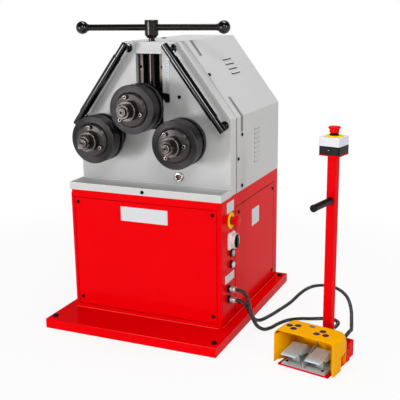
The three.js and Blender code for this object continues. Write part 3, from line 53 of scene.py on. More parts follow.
photoView = dict(
    place=(1242.14, -2565.17, 1150.59), turns=(23.773, 14.487, -0.740), lens=69.85, sensor=36, reach=60)


def makeCamera(place, turns, lens, sensor, reach):
    yaw, pitch, roll = map(radians, turns)
    ahead = Vector((-sin(yaw) * cos(pitch), cos(yaw) * cos(pitch), -sin(pitch)))
    level = Vector((cos(yaw), sin(yaw), 0))
    upright = level.cross(ahead)
    right = level * cos(roll) + upright * sin(roll)
    up = upright * cos(roll) - level * sin(roll)
    camera = bpy.data.objects.new("photoCamera", bpy.data.cameras.new("photoCamera"))
    camera.data.sensor_width, camera.data.lens, camera.data.clip_end = sensor, lens, reach
    turn = Matrix((right, up, -ahead)).transposed().to_4x4()
    camera.matrix_world = Matrix.Translation(Vector(place) * mm) @ turn
    bpy.context.scene.collection.objects.link(camera)
    bpy.context.scene.camera = camera


makeCamera(**photoView)

# Shader maths


class Wire:
    def __init__(self, shader, socket):
        self.shader, self.socket = shader, socket

    def maths(self, operation, other):
        return self.shader.add("ShaderNodeMath", {"operation": operation}, {0: self, 1: other})

    def __add__(self, other): return self.maths("ADD", other)
    def __mul__(self, other): return self.maths("MULTIPLY", other)
    def __or__(self, other): return self.maths("MAXIMUM", other)


class Shader:
    def __init__(self, tree):
        self.tree = tree

    def add(self, kind, settings, inputs, output=0):
        node = self.tree.nodes.new(kind)
        for key, value in settings.items():
            if key == "stops":
                ramp = node.color_ramp.elements
                for element, (place, shade) in zip(ramp, value):
                    element.position, element.color = place, (shade, shade, shade, 1)
            else:
                setattr(node, key, value)
        for key, value in inputs.items():
            if isinstance(value, Wire):
                self.tree.links.new(value.socket, node.inputs[key])
            else:
                node.inputs[key].default_value = value
        return Wire(self, node.outputs[output])

    def show(self, wire, kind):
        output = next(node for node in self.tree.nodes if node.type == kind)
        self.tree.links.new(wire.socket, output.inputs["Surface"])

    def ray(self, kind):
        return self.add("ShaderNodeLightPath", {}, {}, kind)

    def spot(self, kind="Object"):
        return self.add("ShaderNodeTexCoord", {}, {}, kind)

    def stretched(self, spot, x, y, z):
        return self.add("ShaderNodeVectorMath", {"operation": "MULTIPLY"}, {0: spot, 1: (x, y, z)})

    def length(self, spot):
        return self.add("ShaderNodeVectorMath", {"operation": "LENGTH"}, {0: spot}, 1)

    def axis(self, spot, which):
        return self.add("ShaderNodeSeparateXYZ", {}, {0: spot}, which)

    def grain(self, spot, scale, detail, rough=0.55):
        values = {"Vector": spot, "Scale": scale, "Detail": detail, "Roughness": rough}
        return self.add("ShaderNodeTexNoise", {}, values)

    def steps(self, wire, *stops):
        return self.add("ShaderNodeValToRGB", {"stops": stops}, {0: wire})

    def fade(self, wire, *limits):
        return self.add("ShaderNodeMapRange", {"interpolation_type": "SMOOTHSTEP"}, dict(enumerate((wire, *limits))))

    def blend(self, mask, first, second):
        return self.add("ShaderNodeMix", {"data_type": "FLOAT"}, {0: mask, 2: first, 3: second})

    def tint(self, mask, first, second):
        return self.add("ShaderNodeMix", {"data_type": "RGBA"}, {0: mask, 6: first, 7: second}, 2)

    def relief(self, height, distance, strength):
        return self.add("ShaderNodeBump", {}, {"Strength": strength, "Distance": distance, "Height": height})


class Finish(Shader):
    def __init__(self, name, colour, settings):
        self.material = bpy.data.materials.new(name)
        self.material.use_nodes = True
        super().__init__(self.material.node_tree)
        self.main = self.tree.nodes["Principled BSDF"]
        self.material.diffuse_color = self.main.inputs["Base Color"].default_value = (*colour, 1)
        for socket, value in settings.items():
            self.main.inputs[socket].default_value = value

    def feed(self, socket, wire):
        self.tree.links.new(wire.socket, self.main.inputs[socket])


def light(*shade):
    return tuple(((s / 255 + 0.055) / 1.055) ** 2.4 if s > 10 else s / 255 / 12.92 for s in shade)


def tone(colour, factor):
    return tuple(min(1, part * factor) for part in colour) + (1,)


# Sprayed enamel and moulded plastics share one build: a slow drift of colour, dust, and a fine skin.
# Each row: colour, roughness, shine, clear coat, scale of the skin, its depth in metres, drift, dust.
coats = {
    "red_paint": ((232, 0, 8), 0.2, 0.015, 0.03, 620, 3e-5, 0.05, 0.012),
    "grey_paint": ((204, 205, 204), 0.34, 0.1, 0.03, 620, 3e-5, 0.03, 0.03),
    "black_gloss": ((1, 1, 2), 0.05, 0.5, 0, 300, 1e-6, 0.3, 0.02),
    "black_plastic": ((10, 10, 11), 0.36, 0.12, 0, 1500, 5e-5, 0.25, 0.05),
    "yellow_plastic": ((250, 176, 0), 0.36, 0.015, 0, 900, 4e-5, 0.04, 0.015),
    "signal_yellow": ((255, 222, 0), 0.36, 0.02, 0, 900, 3e-5, 0.04, 0.02),
    "red_plastic": ((230, 14, 22), 0.26, 0.03, 0.03, 900, 2e-5, 0.05, 0.02),
    "white_plastic": ((222, 224, 230), 0.38, 0.4, 0.05, 1100, 3e-5, 0.03, 0.04),
    "switch_grey": ((238, 240, 241), 0.36, 0.1, 0.05, 1100, 3e-5, 0.04, 0.05),
    "cap_grey": ((158, 162, 166), 0.28, 0.5, 0.1, 1100, 2e-5, 0.06, 0.04),
    "conduit_black": ((16, 15, 15), 0.26, 0.5, 0, 700, 5e-5, 0.3, 0.12),
    "head_shadow": ((10, 10, 11), 0.6, 0.3, 0, 400, 6e-5, 0.3, 0.05),
    # Black for joints, print marks and painted shade: in screw sockets and under the louvres it stands for shade
    "socket_black": ((6, 6, 7), 0.5, 0.02, 0, 900, 2e-5, 0.3, 0.02),
    "screw_black": ((5, 5, 6), 0.26, 0.1, 0, 900, 2e-5, 0.2, 0.04),
    "plate_paint": ((168, 173, 175), 0.42, 0.4, 0, 420, 8e-5, 0.08, 0.1),
    "label_silver": ((206, 209, 212), 0.36, 0.5, 0.1, 1400, 1e-5, 0.02, 0.03),
    "trim_grey": ((130, 130, 130), 0.6, 0.1, 0, 900, 3e-5, 0.05, 0.04),
    "seam_red": ((176, 0, 8), 0.5, 0.01, 0, 900, 2e-5, 0.05, 0),
    # Light red and near-white strips along folded edges: painted highlights
    "edge_red": ((255, 84, 76), 0.3, 0.3, 0, 900, 2e-5, 0.05, 0),
    "edge_grey": ((250, 250, 250), 0.3, 0.4, 0, 900, 2e-5, 0.02, 0),
    "hood_mark": ((44, 34, 62), 0.5, 0.3, 0, 900, 3e-5, 0.2, 0.06),
    "hood_label": ((104, 106, 120), 0.4, 0.4, 0, 1200, 2e-5, 0.08, 0.06),
}


coatGrain = Look(gloss=0.08, cloud=3.1, speck=55, speckRange=((0.56, 0), (0.74, 1)), smear=24, smearDepth=0.1,
                 speckDull=0.06, pale=(0.5, 0.22))


def makeCoat(name, shade, rough, shine, coat, peel, skin, drift, dust):
    colour, look = light(*shade), coatGrain
    finish = Finish(name, colour, {"Coat Roughness": look.gloss, "Specular IOR Level": shine, "Coat Weight": coat})
    spot = finish.spot()
    specks = finish.steps(finish.grain(spot, look.speck, 6, 0.7), *look.speckRange)
    drifted = finish.tint(finish.grain(spot, look.cloud, 3), tone(colour, 1 - drift), tone(colour, 1 + drift))
    share, lift = look.pale
    pale = tuple(part * share + lift for part in colour) + (1,)
    finish.feed("Base Color", finish.tint(specks * dust, drifted, pale))
    smear = finish.grain(spot, look.smear, 4) * look.smearDepth
    finish.feed("Roughness", smear + specks * look.speckDull + (rough - look.smearDepth / 2))
    finish.feed("Normal", finish.relief(finish.grain(spot, peel, 2), skin * 4, 0.5))
    return finish.material


# Turned, ground and brushed metals; the lines run round the piece's own axis or along it.
# Each row: colour, metallic, roughness, scale of the lines, their depth in metres, their run, stain.
metals = {
    "blackened_steel": ((58, 55, 56), 0.9, 0.27, 900, 1e-5, "turned", 0.12),
    # A darker copy of the ring steel for the rings' front faces: painted shade
    "shaded_face_steel": ((33, 32, 33), 0.9, 0.3, 900, 1e-5, "turned", 0.12),
    "flange_steel": ((62, 59, 58), 0.92, 0.25, 700, 1e-5, "turned", 0.08),
    "bar_steel": ((46, 43, 42), 0.85, 0.1, 160, 5e-7, "along", 0.2),
    # Bright edge finish for rims, seams and collar edges: partly rubbed bare metal, partly painted highlight
    "worn_and_highlight_edge": ((166, 157, 150), 0.9, 0.3, 420, 1e-5, "turned", 0.6),
    "bright_steel": ((176, 175, 172), 1, 0.3, 900, 1e-5, "along", 0.2),
    "rail_steel": ((68, 63, 60), 0.8, 0.36, 900, 2e-5, "along", 0.25),
    "cast_grey": ((120, 121, 122), 0.7, 0.5, 260, 6e-5, "along", 0.3),
    "pedal_metal": ((200, 214, 226), 0.2, 0.5, 700, 12e-5, "cast", 0.16),
    "gland_nickel": ((214, 214, 216), 1, 0.22, 1200, 1e-5, "turned", 0.1),
    "cap_screw_steel": ((122, 119, 116), 0.9, 0.26, 1500, 1e-5, "turned", 0.2),
    "slide_steel": ((24, 23, 23), 0.8, 0.4, 700, 1e-5, "along", 0.3),
    "bushing_bronze": ((112, 76, 58), 0.8, 0.34, 1300, 1e-5, "turned", 0.3),
    "plate_silver": ((196, 198, 200), 0.3, 0.5, 1100, 8e-6, "along", 0.06),
}
metalGrain = Look(shine=0.4, brushed=0.8, turn=0.25, stretch=0.06, stain=26, stainRange=((0.34, 0), (0.68, 1)),
                  patchShare=0.45, lineShare=0.55, patchGloss=-0.06, lineDull=0.12)


def makeMetal(name, shade, metal, rough, scale, depth, run, stain):
    colour, look = light(*shade), metalGrain
    brushed = look.brushed if run == "turned" else 0
    finish = Finish(name, colour, {"Metallic": metal, "Specular IOR Level": look.shine, "Anisotropic": brushed,
                                   "Anisotropic Rotation": look.turn})
    spot = finish.spot()
    if run == "turned":
        radius = finish.length(finish.stretched(spot, 1, 1, 0))
        trace = finish.add("ShaderNodeCombineXYZ", {}, {0: radius, 1: finish.axis(spot, 2), 2: 0})
    else:
        trace = finish.stretched(spot, 1, 1, look.stretch if run == "along" else 1)
    lines = finish.grain(trace, scale, 2, 0.5)
    patch = finish.steps(finish.grain(spot, look.stain, 5, 0.6), *look.stainRange)
    dark, bright = tone(colour, 1 - stain), tone(colour, 1 + stain * 0.8)
    finish.feed("Base Color", finish.tint(patch * look.patchShare + lines * look.lineShare, dark, bright))
    finish.feed("Roughness", patch * look.patchGloss + lines * look.lineDull + rough)
    finish.feed("Normal", finish.relief(lines, depth * 3, 0.6))
    return finish.material


finishes = {name: makeCoat(name, *row) for name, row in coats.items()}
finishes.update({name: makeMetal(name, *row) for name, row in metals.items()})
print("finishes made:", len(finishes))

# Floor, background and lamps, in metres; each lamp's row: place, aim, size, power

white = (1, 1, 1, 1)
studioFloor = dict(size=60, shade=light(240, 240, 240), near=0.8, far=1.8, lift=0.86)
studioSky = dict(ambient=0.3, ceiling=0.12, horizon=0.05, zenith=0.4)
lamps = {
    "leftLamp": ((-2.35, -4.5, 0.68), (0, -0.2, 0.8), (1.2, 1.1), 90),
    "keyLamp": ((2.3, -4.15, 3.4), (0.1, -0.2, 0.8), (1.5, 1.1), 64),
    "frontLamp": ((-0.6, -4.2, 1.5), (0.1, -0.2, 0.8), (0.5, 1.5), 6),
    "fillLamp": ((4.6, -2, 2.2), (0.1, 0, 0.6), (0.5, 2.4), 46),
    "topLamp": ((0.2, 0.4, 4.2), (0.1, 0, 0.5), (2.4, 1.2), 80),
}


def makeFloor(size, shade, near, far, lift):
    bm = bmesh.new()
    bmesh.ops.create_grid(bm, x_segments=6, y_segments=6, size=size / 2)
    mesh = bpy.data.meshes.new("studioFloor")
    bm.to_mesh(mesh)
    floor = bpy.data.objects.new("studioFloor", mesh)
    bpy.context.scene.collection.objects.link(floor)
    finish = Finish("studioFloorFinish", shade, {"Roughness": 0.9, "Specular IOR Level": 0.1})
    seen = finish.ray("Is Camera Ray") | finish.ray("Is Glossy Ray") | finish.ray("Is Transmission Ray")
    away = finish.length(finish.stretched(finish.spot(), 1, 1, 0))
    fading = finish.fade(away, near, far, lift, 1)
    glow = finish.add("ShaderNodeEmission", {}, {"Color": white, "Strength": 1})
    plain = Wire(finish, finish.main.outputs[0])
    finish.show(finish.add("ShaderNodeMixShader", {}, {0: seen * fading, 1: plain, 2: glow}), "OUTPUT_MATERIAL")
    mesh.materials.append(finish.material)


def makeWorld(ambient, ceiling, horizon, zenith):
    world = bpy.data.worlds.new("studioWorld")
    bpy.context.scene.world = world
    world.use_nodes = True
    sky = Shader(world.node_tree)
    mirrored = sky.ray("Is Glossy Ray") | sky.ray("Is Transmission Ray")
    above = sky.fade(sky.axis(sky.spot("Generated"), 2), horizon, zenith, 1, ceiling)
    strength = sky.blend(sky.ray("Is Camera Ray"), sky.blend(mirrored, ambient, above), 1)
    sky.show(sky.add("ShaderNodeBackground", {}, {"Color": white, "Strength": strength}), "OUTPUT_WORLD")


def makeLamp(name, place, aim, size, power):
    data = bpy.data.lights.new(name, "AREA")
    data.shape = "RECTANGLE"
    data.size, data.size_y = size
    data.energy = power
    holder = bpy.data.objects.new(name, data)
    turn = (Vector(place) - Vector(aim)).to_track_quat("Z", "Y")
    holder.matrix_world = Matrix.Translation(place) @ turn.to_matrix().to_4x4()
    bpy.context.scene.collection.objects.link(holder)


makeFloor(**studioFloor)
makeWorld(**studioSky)
for name, row in lamps.items():
    makeLamp(name, *row)
bpy.context.scene.view_settings.view_transform = "Standard"
print("floor and lamps made")

# Places that several pieces share

cabinet = Look(side=295, front=-243)
head = Look(plate=-150, plateBack=-96, shoulder=756)
controlsY = -153
lowerShafts = Look(left=(-164, head.plate, 685), right=(148, head.plate, 685))
toUser, toRight, toLeft, toRear, up = (0, -1, 0), (1, 0, 0), (-1, 0, 0), (0, 1, 0), (0, 0, 1)
# The cover's slanted faces: outward direction, and the slant drawn with x outward and z up the slope from the shoulder
slantRight, slantLeft = (0.80114, 0, 0.59847), (-0.80114, 0, 0.59847)
leaning = Matrix.Rotation(-asin(slantRight[2]), 4, "Y")
slope = Matrix.Translation((cabinet.side, 0, head.shoulder)) @ leaning
bothSides = (Matrix(), Matrix.Scale(-1, 4, toRight))

# Drawing helpers


def facing(place, direction, spin=0):
    turn = Vector(direction).to_track_quat("Z", "Y").to_matrix().to_4x4()
    return Matrix.Translation(Vector(place)) @ turn @ Matrix.Rotation(spin, 4, "Z")


# Rounds a profile's corners to the radius, or to as much of it as the edges beside the corner allow.
def eased(profile, radius, steps):
    nearlyStraight, edgeShare = 0.15, 0.45
    soft = [profile[0]]
    for before, corner, after in zip(profile, profile[1:], profile[2:]):
        here, back, on = Vector(corner), Vector(before), Vector(after)
        inward, outward = back - here, on - here
        if inward.length < 1e-6 or outward.length < 1e-6 or inward.angle(-outward) < nearlyStraight:
            soft.append(corner)
            continue
        reach = min(radius, inward.length * edgeShare, outward.length * edgeShare)
        start, end = here + inward.normalized() * reach, here + outward.normalized() * reach
        for step in range(steps + 1):
            t = step / steps
            soft.append(tuple(start * (1 - t) ** 2 + here * 2 * t * (1 - t) + end * t ** 2))
    soft.append(profile[-1])
    return soft


# A ring of points about Z; radius is a number or a function of the angle.
def circle(radius, height, sides):
    ring = []
    for i in range(sides):
        angle = tau * i / sides
        r = radius(angle) if callable(radius) else radius
        ring.append((r * cos(angle), r * sin(angle), height))
    return ring


def hexagon(flats, height, sides):
    return circle(lambda a: flats / 2 / cos((a + pi / 6) % (pi / 3) - pi / 6), height, sides)


def roundedOutline(width, height, corner, steps=4):
    points = []
    for sx, sy, start in ((1, 1, 0), (-1, 1, 90), (-1, -1, 180), (1, -1, 270)):
        for step in range(steps + 1):
            angle = radians(start + 90 * step / steps)
            points.append((sx * (width / 2 - corner) + corner * cos(angle),
                           sy * (height / 2 - corner) + corner * sin(angle)))
    return points


def shadeEvenly(shown):
    even = shown.modifiers.new("evenShading", "WEIGHTED_NORMAL")
    even.keep_sharp = True
    even.weight = 80


# Collects points and faces; coat is the number of the finish that the next faces take.
class Form:
    def __init__(self):
        self.points, self.faces, self.coats, self.coat = [], [], [], 0

    def paint(self):
        self.coats += [self.coat] * (len(self.faces) - len(self.coats))
        return self

    def loops(self, rings, place=Matrix(), caps="both"):
        start, count = len(self.points), len(rings[0])
        for ring in rings:
            self.points += [place @ Vector(point) for point in ring]
        for row in range(len(rings) - 1):
            for i in range(count):
                a, b = start + row * count + i, start + row * count + (i + 1) % count
                self.faces.append((a, b, b + count, a + count))
        if caps in ("both", "first"):
            self.faces.append(tuple(range(start + count - 1, start - 1, -1)))
        if caps in ("both", "last"):
            last = start + (len(rings) - 1) * count
            self.faces.append(tuple(range(last, last + count)))
        return self.paint()

    def turned(self, profile, place=Matrix(), sides=72, ease=0, steps=3):
        if ease:
            profile = eased(profile, ease, steps)
        hollow = profile[0][0] > 0.01 and profile[-1] == profile[0]
        rings = [circle(max(r, 0.001), z, sides) for r, z in profile]
        return self.loops(rings, place, caps="" if hollow else "both")

    def rod(self, radius, low, high, place, sides=36):
        return self.turned([(0, low), (radius, low), (radius, high), (0, high)], place, sides)

    def slab(self, low, high, ease, place=Matrix(), steps=2):
        bm = bmesh.new()
        bmesh.ops.create_cube(bm, size=1)
        size, middle = Vector(high) - Vector(low), (Vector(high) + Vector(low)) / 2
        for vert in bm.verts:
            vert.co = Vector((vert.co.x * size.x, vert.co.y * size.y, vert.co.z * size.z)) + middle
        bmesh.ops.bevel(bm, geom=bm.edges[:], offset=ease, segments=steps, affect="EDGES", profile=0.5)
        bm.verts.index_update()
        start = len(self.points)
        self.points += [place @ vert.co for vert in bm.verts]
        self.faces += [tuple(start + vert.index for vert in face.verts) for face in bm.faces]
        bm.free()
        return self.paint()

    # A thin band lying on a turned corner or face, from radius r0 at height z0 to r1 at z1; with the default coat it
    # takes the bright edge finish, partly rubbed bare metal and partly painted highlight.
    def turnedBand(self, r0, z0, r1, z1, place, sides=96, coat=1):
        proud, sunk = 0.04, 0.3
        across = Vector((r1 - r0, z1 - z0)).normalized()
        out = Vector((-across.y, across.x))
        if out.x < 0:
            out = -out
        a, b = Vector((r0, z0)), Vector((r1, z1))
        ring = [a + out * proud, b + out * proud, b - out * sunk, a - out * sunk, a + out * proud]
        self.coat += coat
        self.turned([tuple(point) for point in ring], place, sides)
        self.coat -= coat

    # A plate with rounded corners, drawn in X and Y and raised along Z.
    def plate(self, width, height, low, high, corner, place, ease):
        outline = roundedOutline(width, height, corner)
        rings = []
        for inset, z in ((0, low), (0, high - ease), (ease * 0.3, high - ease * 0.3), (ease, high)):
            shrinkX, shrinkY = 1 - 2 * inset / width, 1 - 2 * inset / height
            rings.append([(x * shrinkX, y * shrinkY, z) for x, y in outline])
        return self.loops(rings, place)

    # A screw head standing on z = 0 with a hexagonal socket; the socket takes the next finish, whose black paints the
    # shade inside the shallow socket.
    def screw(self, place, radius, height, socket, domed=True, sides=36):
        if domed:
            rise = ((0.95, -0.2), (1, 0), (1, 0.28), (0.95, 0.55), (0.84, 0.82), (0.7, 1))
        else:
            rise = ((0.98, -0.2), (1, 0.05), (1, 0.88), (0.97, 0.97), (0.9, 1))
        rings = [circle(radius * share, height * max(part, -0.1), sides) for share, part in rise]
        rim = hexagon(socket, height, sides)
        self.loops(rings + [rim], place, caps="first")
        self.coat += 1
        floor = height - height * (0.16 if domed else 0.5)
        self.loops([rim, hexagon(socket * 0.96, floor, sides), hexagon(socket * 0.2, floor, sides)], place, caps="last")
        self.coat -= 1
        return self

    def become(self, name, finish, slot, at=Matrix(), hides=None, body="machine", smooth=38):
        back = at.inverted()
        mesh = bpy.data.meshes.new(name)
        mesh.from_pydata([(back @ point) * mm for point in self.points], [], self.faces)
        mesh.polygons.foreach_set("material_index", self.coats)
        bm = bmesh.new()
        bm.from_mesh(mesh)
        bmesh.ops.remove_doubles(bm, verts=bm.verts, dist=weldDistance)
        bmesh.ops.recalc_face_normals(bm, faces=bm.faces)
        bm.to_mesh(mesh)
        bm.free()
        mesh.polygons.foreach_set("use_smooth", [True] * len(mesh.polygons))
        mesh.set_sharp_from_angle(angle=radians(smooth))
        for part in [finish] if isinstance(finish, str) else finish:
            mesh.materials.append(finishes[part])
        shown = bpy.data.objects.new(name, mesh)
        shown.matrix_world = Matrix.Translation(at.translation * mm) @ at.to_3x3().to_4x4()
        bpy.context.scene.collection.objects.link(shown)
        shadeEvenly(shown)
        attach(shown, body)
        if hides:
            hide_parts(hides)
        return shown


pedestal = Look(place=(625, -372, 0), turn=-12)
pedestalPlace = Matrix.Translation(pedestal.place) @ Matrix.Rotation(radians(pedestal.turn), 4, "Z")


def pedestalAt(x, y, z):
    return pedestalPlace @ Matrix.Translation((x, y, z))


def onPedestal(x, y, z):
    return pedestalPlace @ Vector((x, y, z))


# Ribbed conduits

conduits = Look(radius=6.5, valley=5.5, pitch=4, sides=18, routes={
    "conduit_estop": [
        (325.5, -181, 165), (337, -181, 165), (352, -181, 161), (364, -181, 149), (371, -181, 131), (376, -180, 107),
        (381, -176, 80), (388, -166, 50), (398, -151, 25), (413, -131, 10), (428, -104, 7), (443, -58, 7),
        (466, -15, 7), (500, 12, 7.5), (539, 16, 12), (574, 1, 24), (611, -29, 42), (646, -68, 60),
        onPedestal(-7, 267, 68), onPedestal(-1, 242, 68), onPedestal(0, 213.3, 68)],
    "conduit_pedal": [
        (325.5, -181, 126), (337, -181, 126), (350, -180, 121), (361, -175, 109), (368, -164, 88), (371, -145, 61),
        (374, -112, 33), (378, -66, 14), (390, -5, 7.5), (407, 70, 7), (423, 154, 7), (431, 258, 7), (442, 320, 7),
        (462, 361, 7), (495, 382, 7), (533, 379, 7), (568, 354, 7), (598, 316, 7), (622, 270, 7), (656, 172, 7),
        (680, 74, 7), (701, -20, 16), (716, -98, 43), (725, -165, 67),
        onPedestal(70, 159.3, 78), onPedestal(70, 135.3, 78)],
})


def smoothRoute(points):
    knots = [Vector(p) for p in points]
    knots = [knots[0] * 2 - knots[1], *knots, knots[-1] * 2 - knots[-2]]
    route = []
    for p0, p1, p2, p3 in zip(knots, knots[1:], knots[2:], knots[3:]):
        d0, d1, d2 = ((b - a).length ** 0.5 for a, b in ((p0, p1), (p1, p2), (p2, p3)))
        m1 = ((p1 - p0) / d0 - (p2 - p0) / (d0 + d1) + (p2 - p1) / d1) * d1
        m2 = ((p2 - p1) / d1 - (p3 - p1) / (d1 + d2) + (p3 - p2) / d2) * d1
        count = max(4, round((p2 - p1).length / 2))
        for i in range(count):
            t = i / count
            route.append(p1 * (2 * t ** 3 - 3 * t ** 2 + 1) + m1 * (t ** 3 - 2 * t ** 2 + t)
                         + p2 * (3 * t ** 2 - 2 * t ** 3) + m2 * (t ** 3 - t ** 2))
    route.append(knots[-2])
    return route


def evenly(route, step):
    lengths = [0]
    for a, b in zip(route, route[1:]):
        lengths.append(lengths[-1] + (b - a).length)
    count = max(2, round(lengths[-1] / step))
    spaced, at = [], 0
    for i in range(count + 1):
        wanted = lengths[-1] * i / count
        while at < len(route) - 2 and lengths[at + 1] < wanted:
            at += 1
        span = lengths[at + 1] - lengths[at]
        spaced.append(route[at].lerp(route[at + 1], (wanted - lengths[at]) / span))
    return spaced, lengths[-1]


def ribbedTube(route, radii, sides):
    across = None
    rings = []
    for i, point in enumerate(route):
        ahead = (route[min(i + 1, len(route) - 1)] - route[max(i - 1, 0)]).normalized()
        across = across or ahead.orthogonal().normalized()
        across = (across - ahead * across.dot(ahead)).normalized()
        other = ahead.cross(across)
        r = radii[i % len(radii)]
        rings.append([point + (across * cos(a) + other * sin(a)) * r
                      for a in (tau * k / sides for k in range(sides))])
    return Form().loops(rings)


def makeConduit(name, look):
    radius = look.radius
    line, length = evenly(smoothRoute(look.routes[name]), look.pitch / 4)
    line = [Vector((point.x, point.y, max(point.z, radius + 0.1))) for point in line]
    form = ribbedTube(line, (radius, radius, look.valley, look.valley), look.sides)
    tube = form.become(name + "_ribbed", "conduit_black", "conduit_black", hides=name, smooth=60)
    path = [tuple(point * mm) for point in line]
    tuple(path[0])
    length * mm
    print(name, "length", round(length * mm, 3), "m")


for name in conduits.routes:
    makeConduit(name, conduits)

# Roller stacks, drawn about their shafts with z = 0 at the front plate and +z towards the user

bendingRings = dict(disc=83, groove=64, bore=20.6, rim=59, front=139, seam=117, high=92, low=74, back=59)
clampFlange = dict(rim=59, step=53.5, collar=34, bore=20.3, face=153, back=139)
flangeScrews = dict(reach=46, face=153, size=(6.6, 9, 7))
lockNut = dict(collar=34, nut=25, nose=15, face=153, high=178, front=201, slotHalf=3.5, slotDepth=4)
turnedShaft = dict(nose=15, journal=20, shoulder=32, bearing=22.5, end=209, face=153, back=59)
# Each row: place, turn about the shaft in radians, the shaft's rear end
rollers = {
    "top_roller": ((-8, head.plate, 796), 0.26, -62),
    "lower_left": (lowerShafts.left, 0.03, -122),
    "lower_right": (lowerShafts.right, 0.57, -122),
}


def turnRings(place, disc, groove, bore, rim, front, seam, high, low, back):
    form = Form().turned([
        (bore, front), (rim + 0.6, front), (rim + 1, front - 0.9), (rim + 1.7, front), (disc - 7, front),
        (disc - 6.6, front - 0.3), (disc - 6.2, front), (disc - 2.5, front), (disc, front - 2.5), (disc, seam + 1.3),
        (disc - 1.3, seam + 0.2), (disc - 1.3, seam - 0.2), (disc, seam - 1.3), (disc, high + 0.9), (disc - 0.9, high),
        (groove, high), (groove, low), (disc - 0.9, low), (disc, low - 0.9), (disc, back + 1.2), (disc - 1.2, back),
        (bore, back), (bore, front)], place, sides=144, ease=0.25, steps=2)
    # Bright bands on the front rim and beside the seam: partly rubbed metal, partly painted highlight
    form.turnedBand(disc - 3.1, front - 0.02, disc - 0.02, front - 3.1, place, 144)
    form.turnedBand(disc - 0.15, seam + 2.4, disc - 0.15, seam + 1.5, place, 144)
    # Darker bands over the front face: painted shade
    for inner, outer in ((rim + 2, disc - 7.2), (disc - 6, disc - 3.2)):
        form.turnedBand(outer, front, inner, front, place, 144, 2)
    return form


def turnFlange(place, rim, step, collar, bore, face, back):
    form = Form().turned([
        (bore, face), (collar + 1.6, face), (collar + 2, face - 0.6), (collar + 2.4, face - 0.1), (step, face - 3.6),
        (rim, face - 8.4), (rim, back + 0.3), (bore, back + 0.3), (bore, face)], place, sides=120, ease=0.5)
    form.turnedBand(step - 0.4, face - 3.7, step + 0.5, face - 4.2, place, 120)
    return form


def setScrews(place, reach, face, size):
    form = Form()
    for i in range(3):
        angle = pi / 2 + tau * i / 3
        spot = Matrix.Translation((reach * cos(angle), reach * sin(angle), face))
        form.screw(place @ spot, *size, domed=False)
    return form


# The nut's rim is cut by four spanner slots over its front part.
def turnNut(place, collar, nut, nose, face, high, front, slotHalf, slotDepth):
    quarter, middle, rim = pi / 2, high + 7.7, front - 1.6

    def slotted(radius, angle):
        off = (angle + quarter / 2) % quarter - quarter / 2
        cut = abs(sin(off)) * nut < slotHalf
        return min(radius, (nut - slotDepth) / cos(off)) if cut else radius

    rings = [(nut, high), (nut, middle), (partial(slotted, nut), middle + 0.05), (partial(slotted, nut), rim),
             (partial(slotted, nut - 1.6), front), (nose + 2.2, front), (nose + 0.3, rim)]
    form = Form().loops([circle(radius, z, 192) for radius, z in rings], place, caps="")
    form.turned([
        (nose + 0.3, face + 0.3), (collar - 1, face + 0.3), (collar, face + 1.3), (collar, high - 1.6),
        (collar - 1.6, high), (nut - 1, high), (nose + 0.3, high), (nose + 0.3, face + 0.3)],
        place, sides=96, ease=0.4, steps=2)
    form.turnedBand(collar - 1.5, high - 0.15, collar - 0.15, high - 1.5, place)
    return form


def turnShaft(place, tail, nose, journal, shoulder, bearing, end, face, back):
    form = Form().turned([
        (0, end - 5), (2.4, end - 2.6), (2.6, end - 1.2), (4.2, end), (nose - 1.6, end), (nose, end - 1.6),
        (nose, face + 0.2), (journal, face), (journal, back - 0.3), (shoulder, back - 0.3), (shoulder, back - 4.3),
        (bearing, back - 4.3), (bearing, tail + 1), (bearing - 1, tail), (0, tail)], place, ease=0.3, steps=2)
    form.turnedBand(nose - 1.5, end - 0.15, nose - 0.15, end - 1.5, place, 72)
    return form


plain = ("flange_steel", "worn_and_highlight_edge")
for name, (spot, spin, tail) in rollers.items():
    place = facing(spot, toUser, spin)
    pieces = {
        "_bending_rings": (turnRings(place, **bendingRings), ("blackened_steel", "worn_and_highlight_edge", "shaded_face_steel"), "_rings"),
        "_clamp_flange": (turnFlange(place, **clampFlange), plain, "_flange"),
        "_flange_screws": (setScrews(place, **flangeScrews), ("cap_screw_steel", "socket_black"), None),
        "_spanner_nut": (turnNut(place, **lockNut), plain, "_lock_nut"),
        "_turned_shaft": (turnShaft(place, tail, **turnedShaft), plain, "_shaft"),
    }
    for suffix, (form, finish, node) in pieces.items():
        slot = "blackened_steel" if node else "bright_steel"
        form.become(name + suffix, finish, slot, place, node and name + node, name + "_stack")
print("roller stacks made:", len(rollers))

# Bearing housings of the lower shafts

housings = dict(radius=46, length=50, flange=56, high=9, bore=23.4)


def makeHousing(side, radius, length, flange, high, bore):
    place = facing(lowerShafts[side], toUser)
    form = Form().turned([
        (bore, length), (radius - 2, length), (radius, length - 2), (radius, high), (flange - 1.5, high),
        (flange, high - 1.5), (flange, 0.3), (bore, 0.3), (bore, length)], place, sides=96, ease=0.6)
    form.become(f"lower_{side}_housing", "blackened_steel", "blackened_steel", place, "bearing_housing_" + side)


for side in lowerShafts:
    makeHousing(side, **housings)

# Hand screw with its hub, and the cross bar with two balls

handScrew = dict(place=(-8, -123, 0), end=837.3, journal=12, collar=24, low=858.3, high=866.3, thread=17, neck=11,
                 neckFoot=1008, foot=1024, narrow=16, hub=24, taper=10, top=1085)
crossBar = dict(place=(-8, -123, 1059.5), turn=9, radius=11, half=256, ball=22.5, ferrule=12.6)


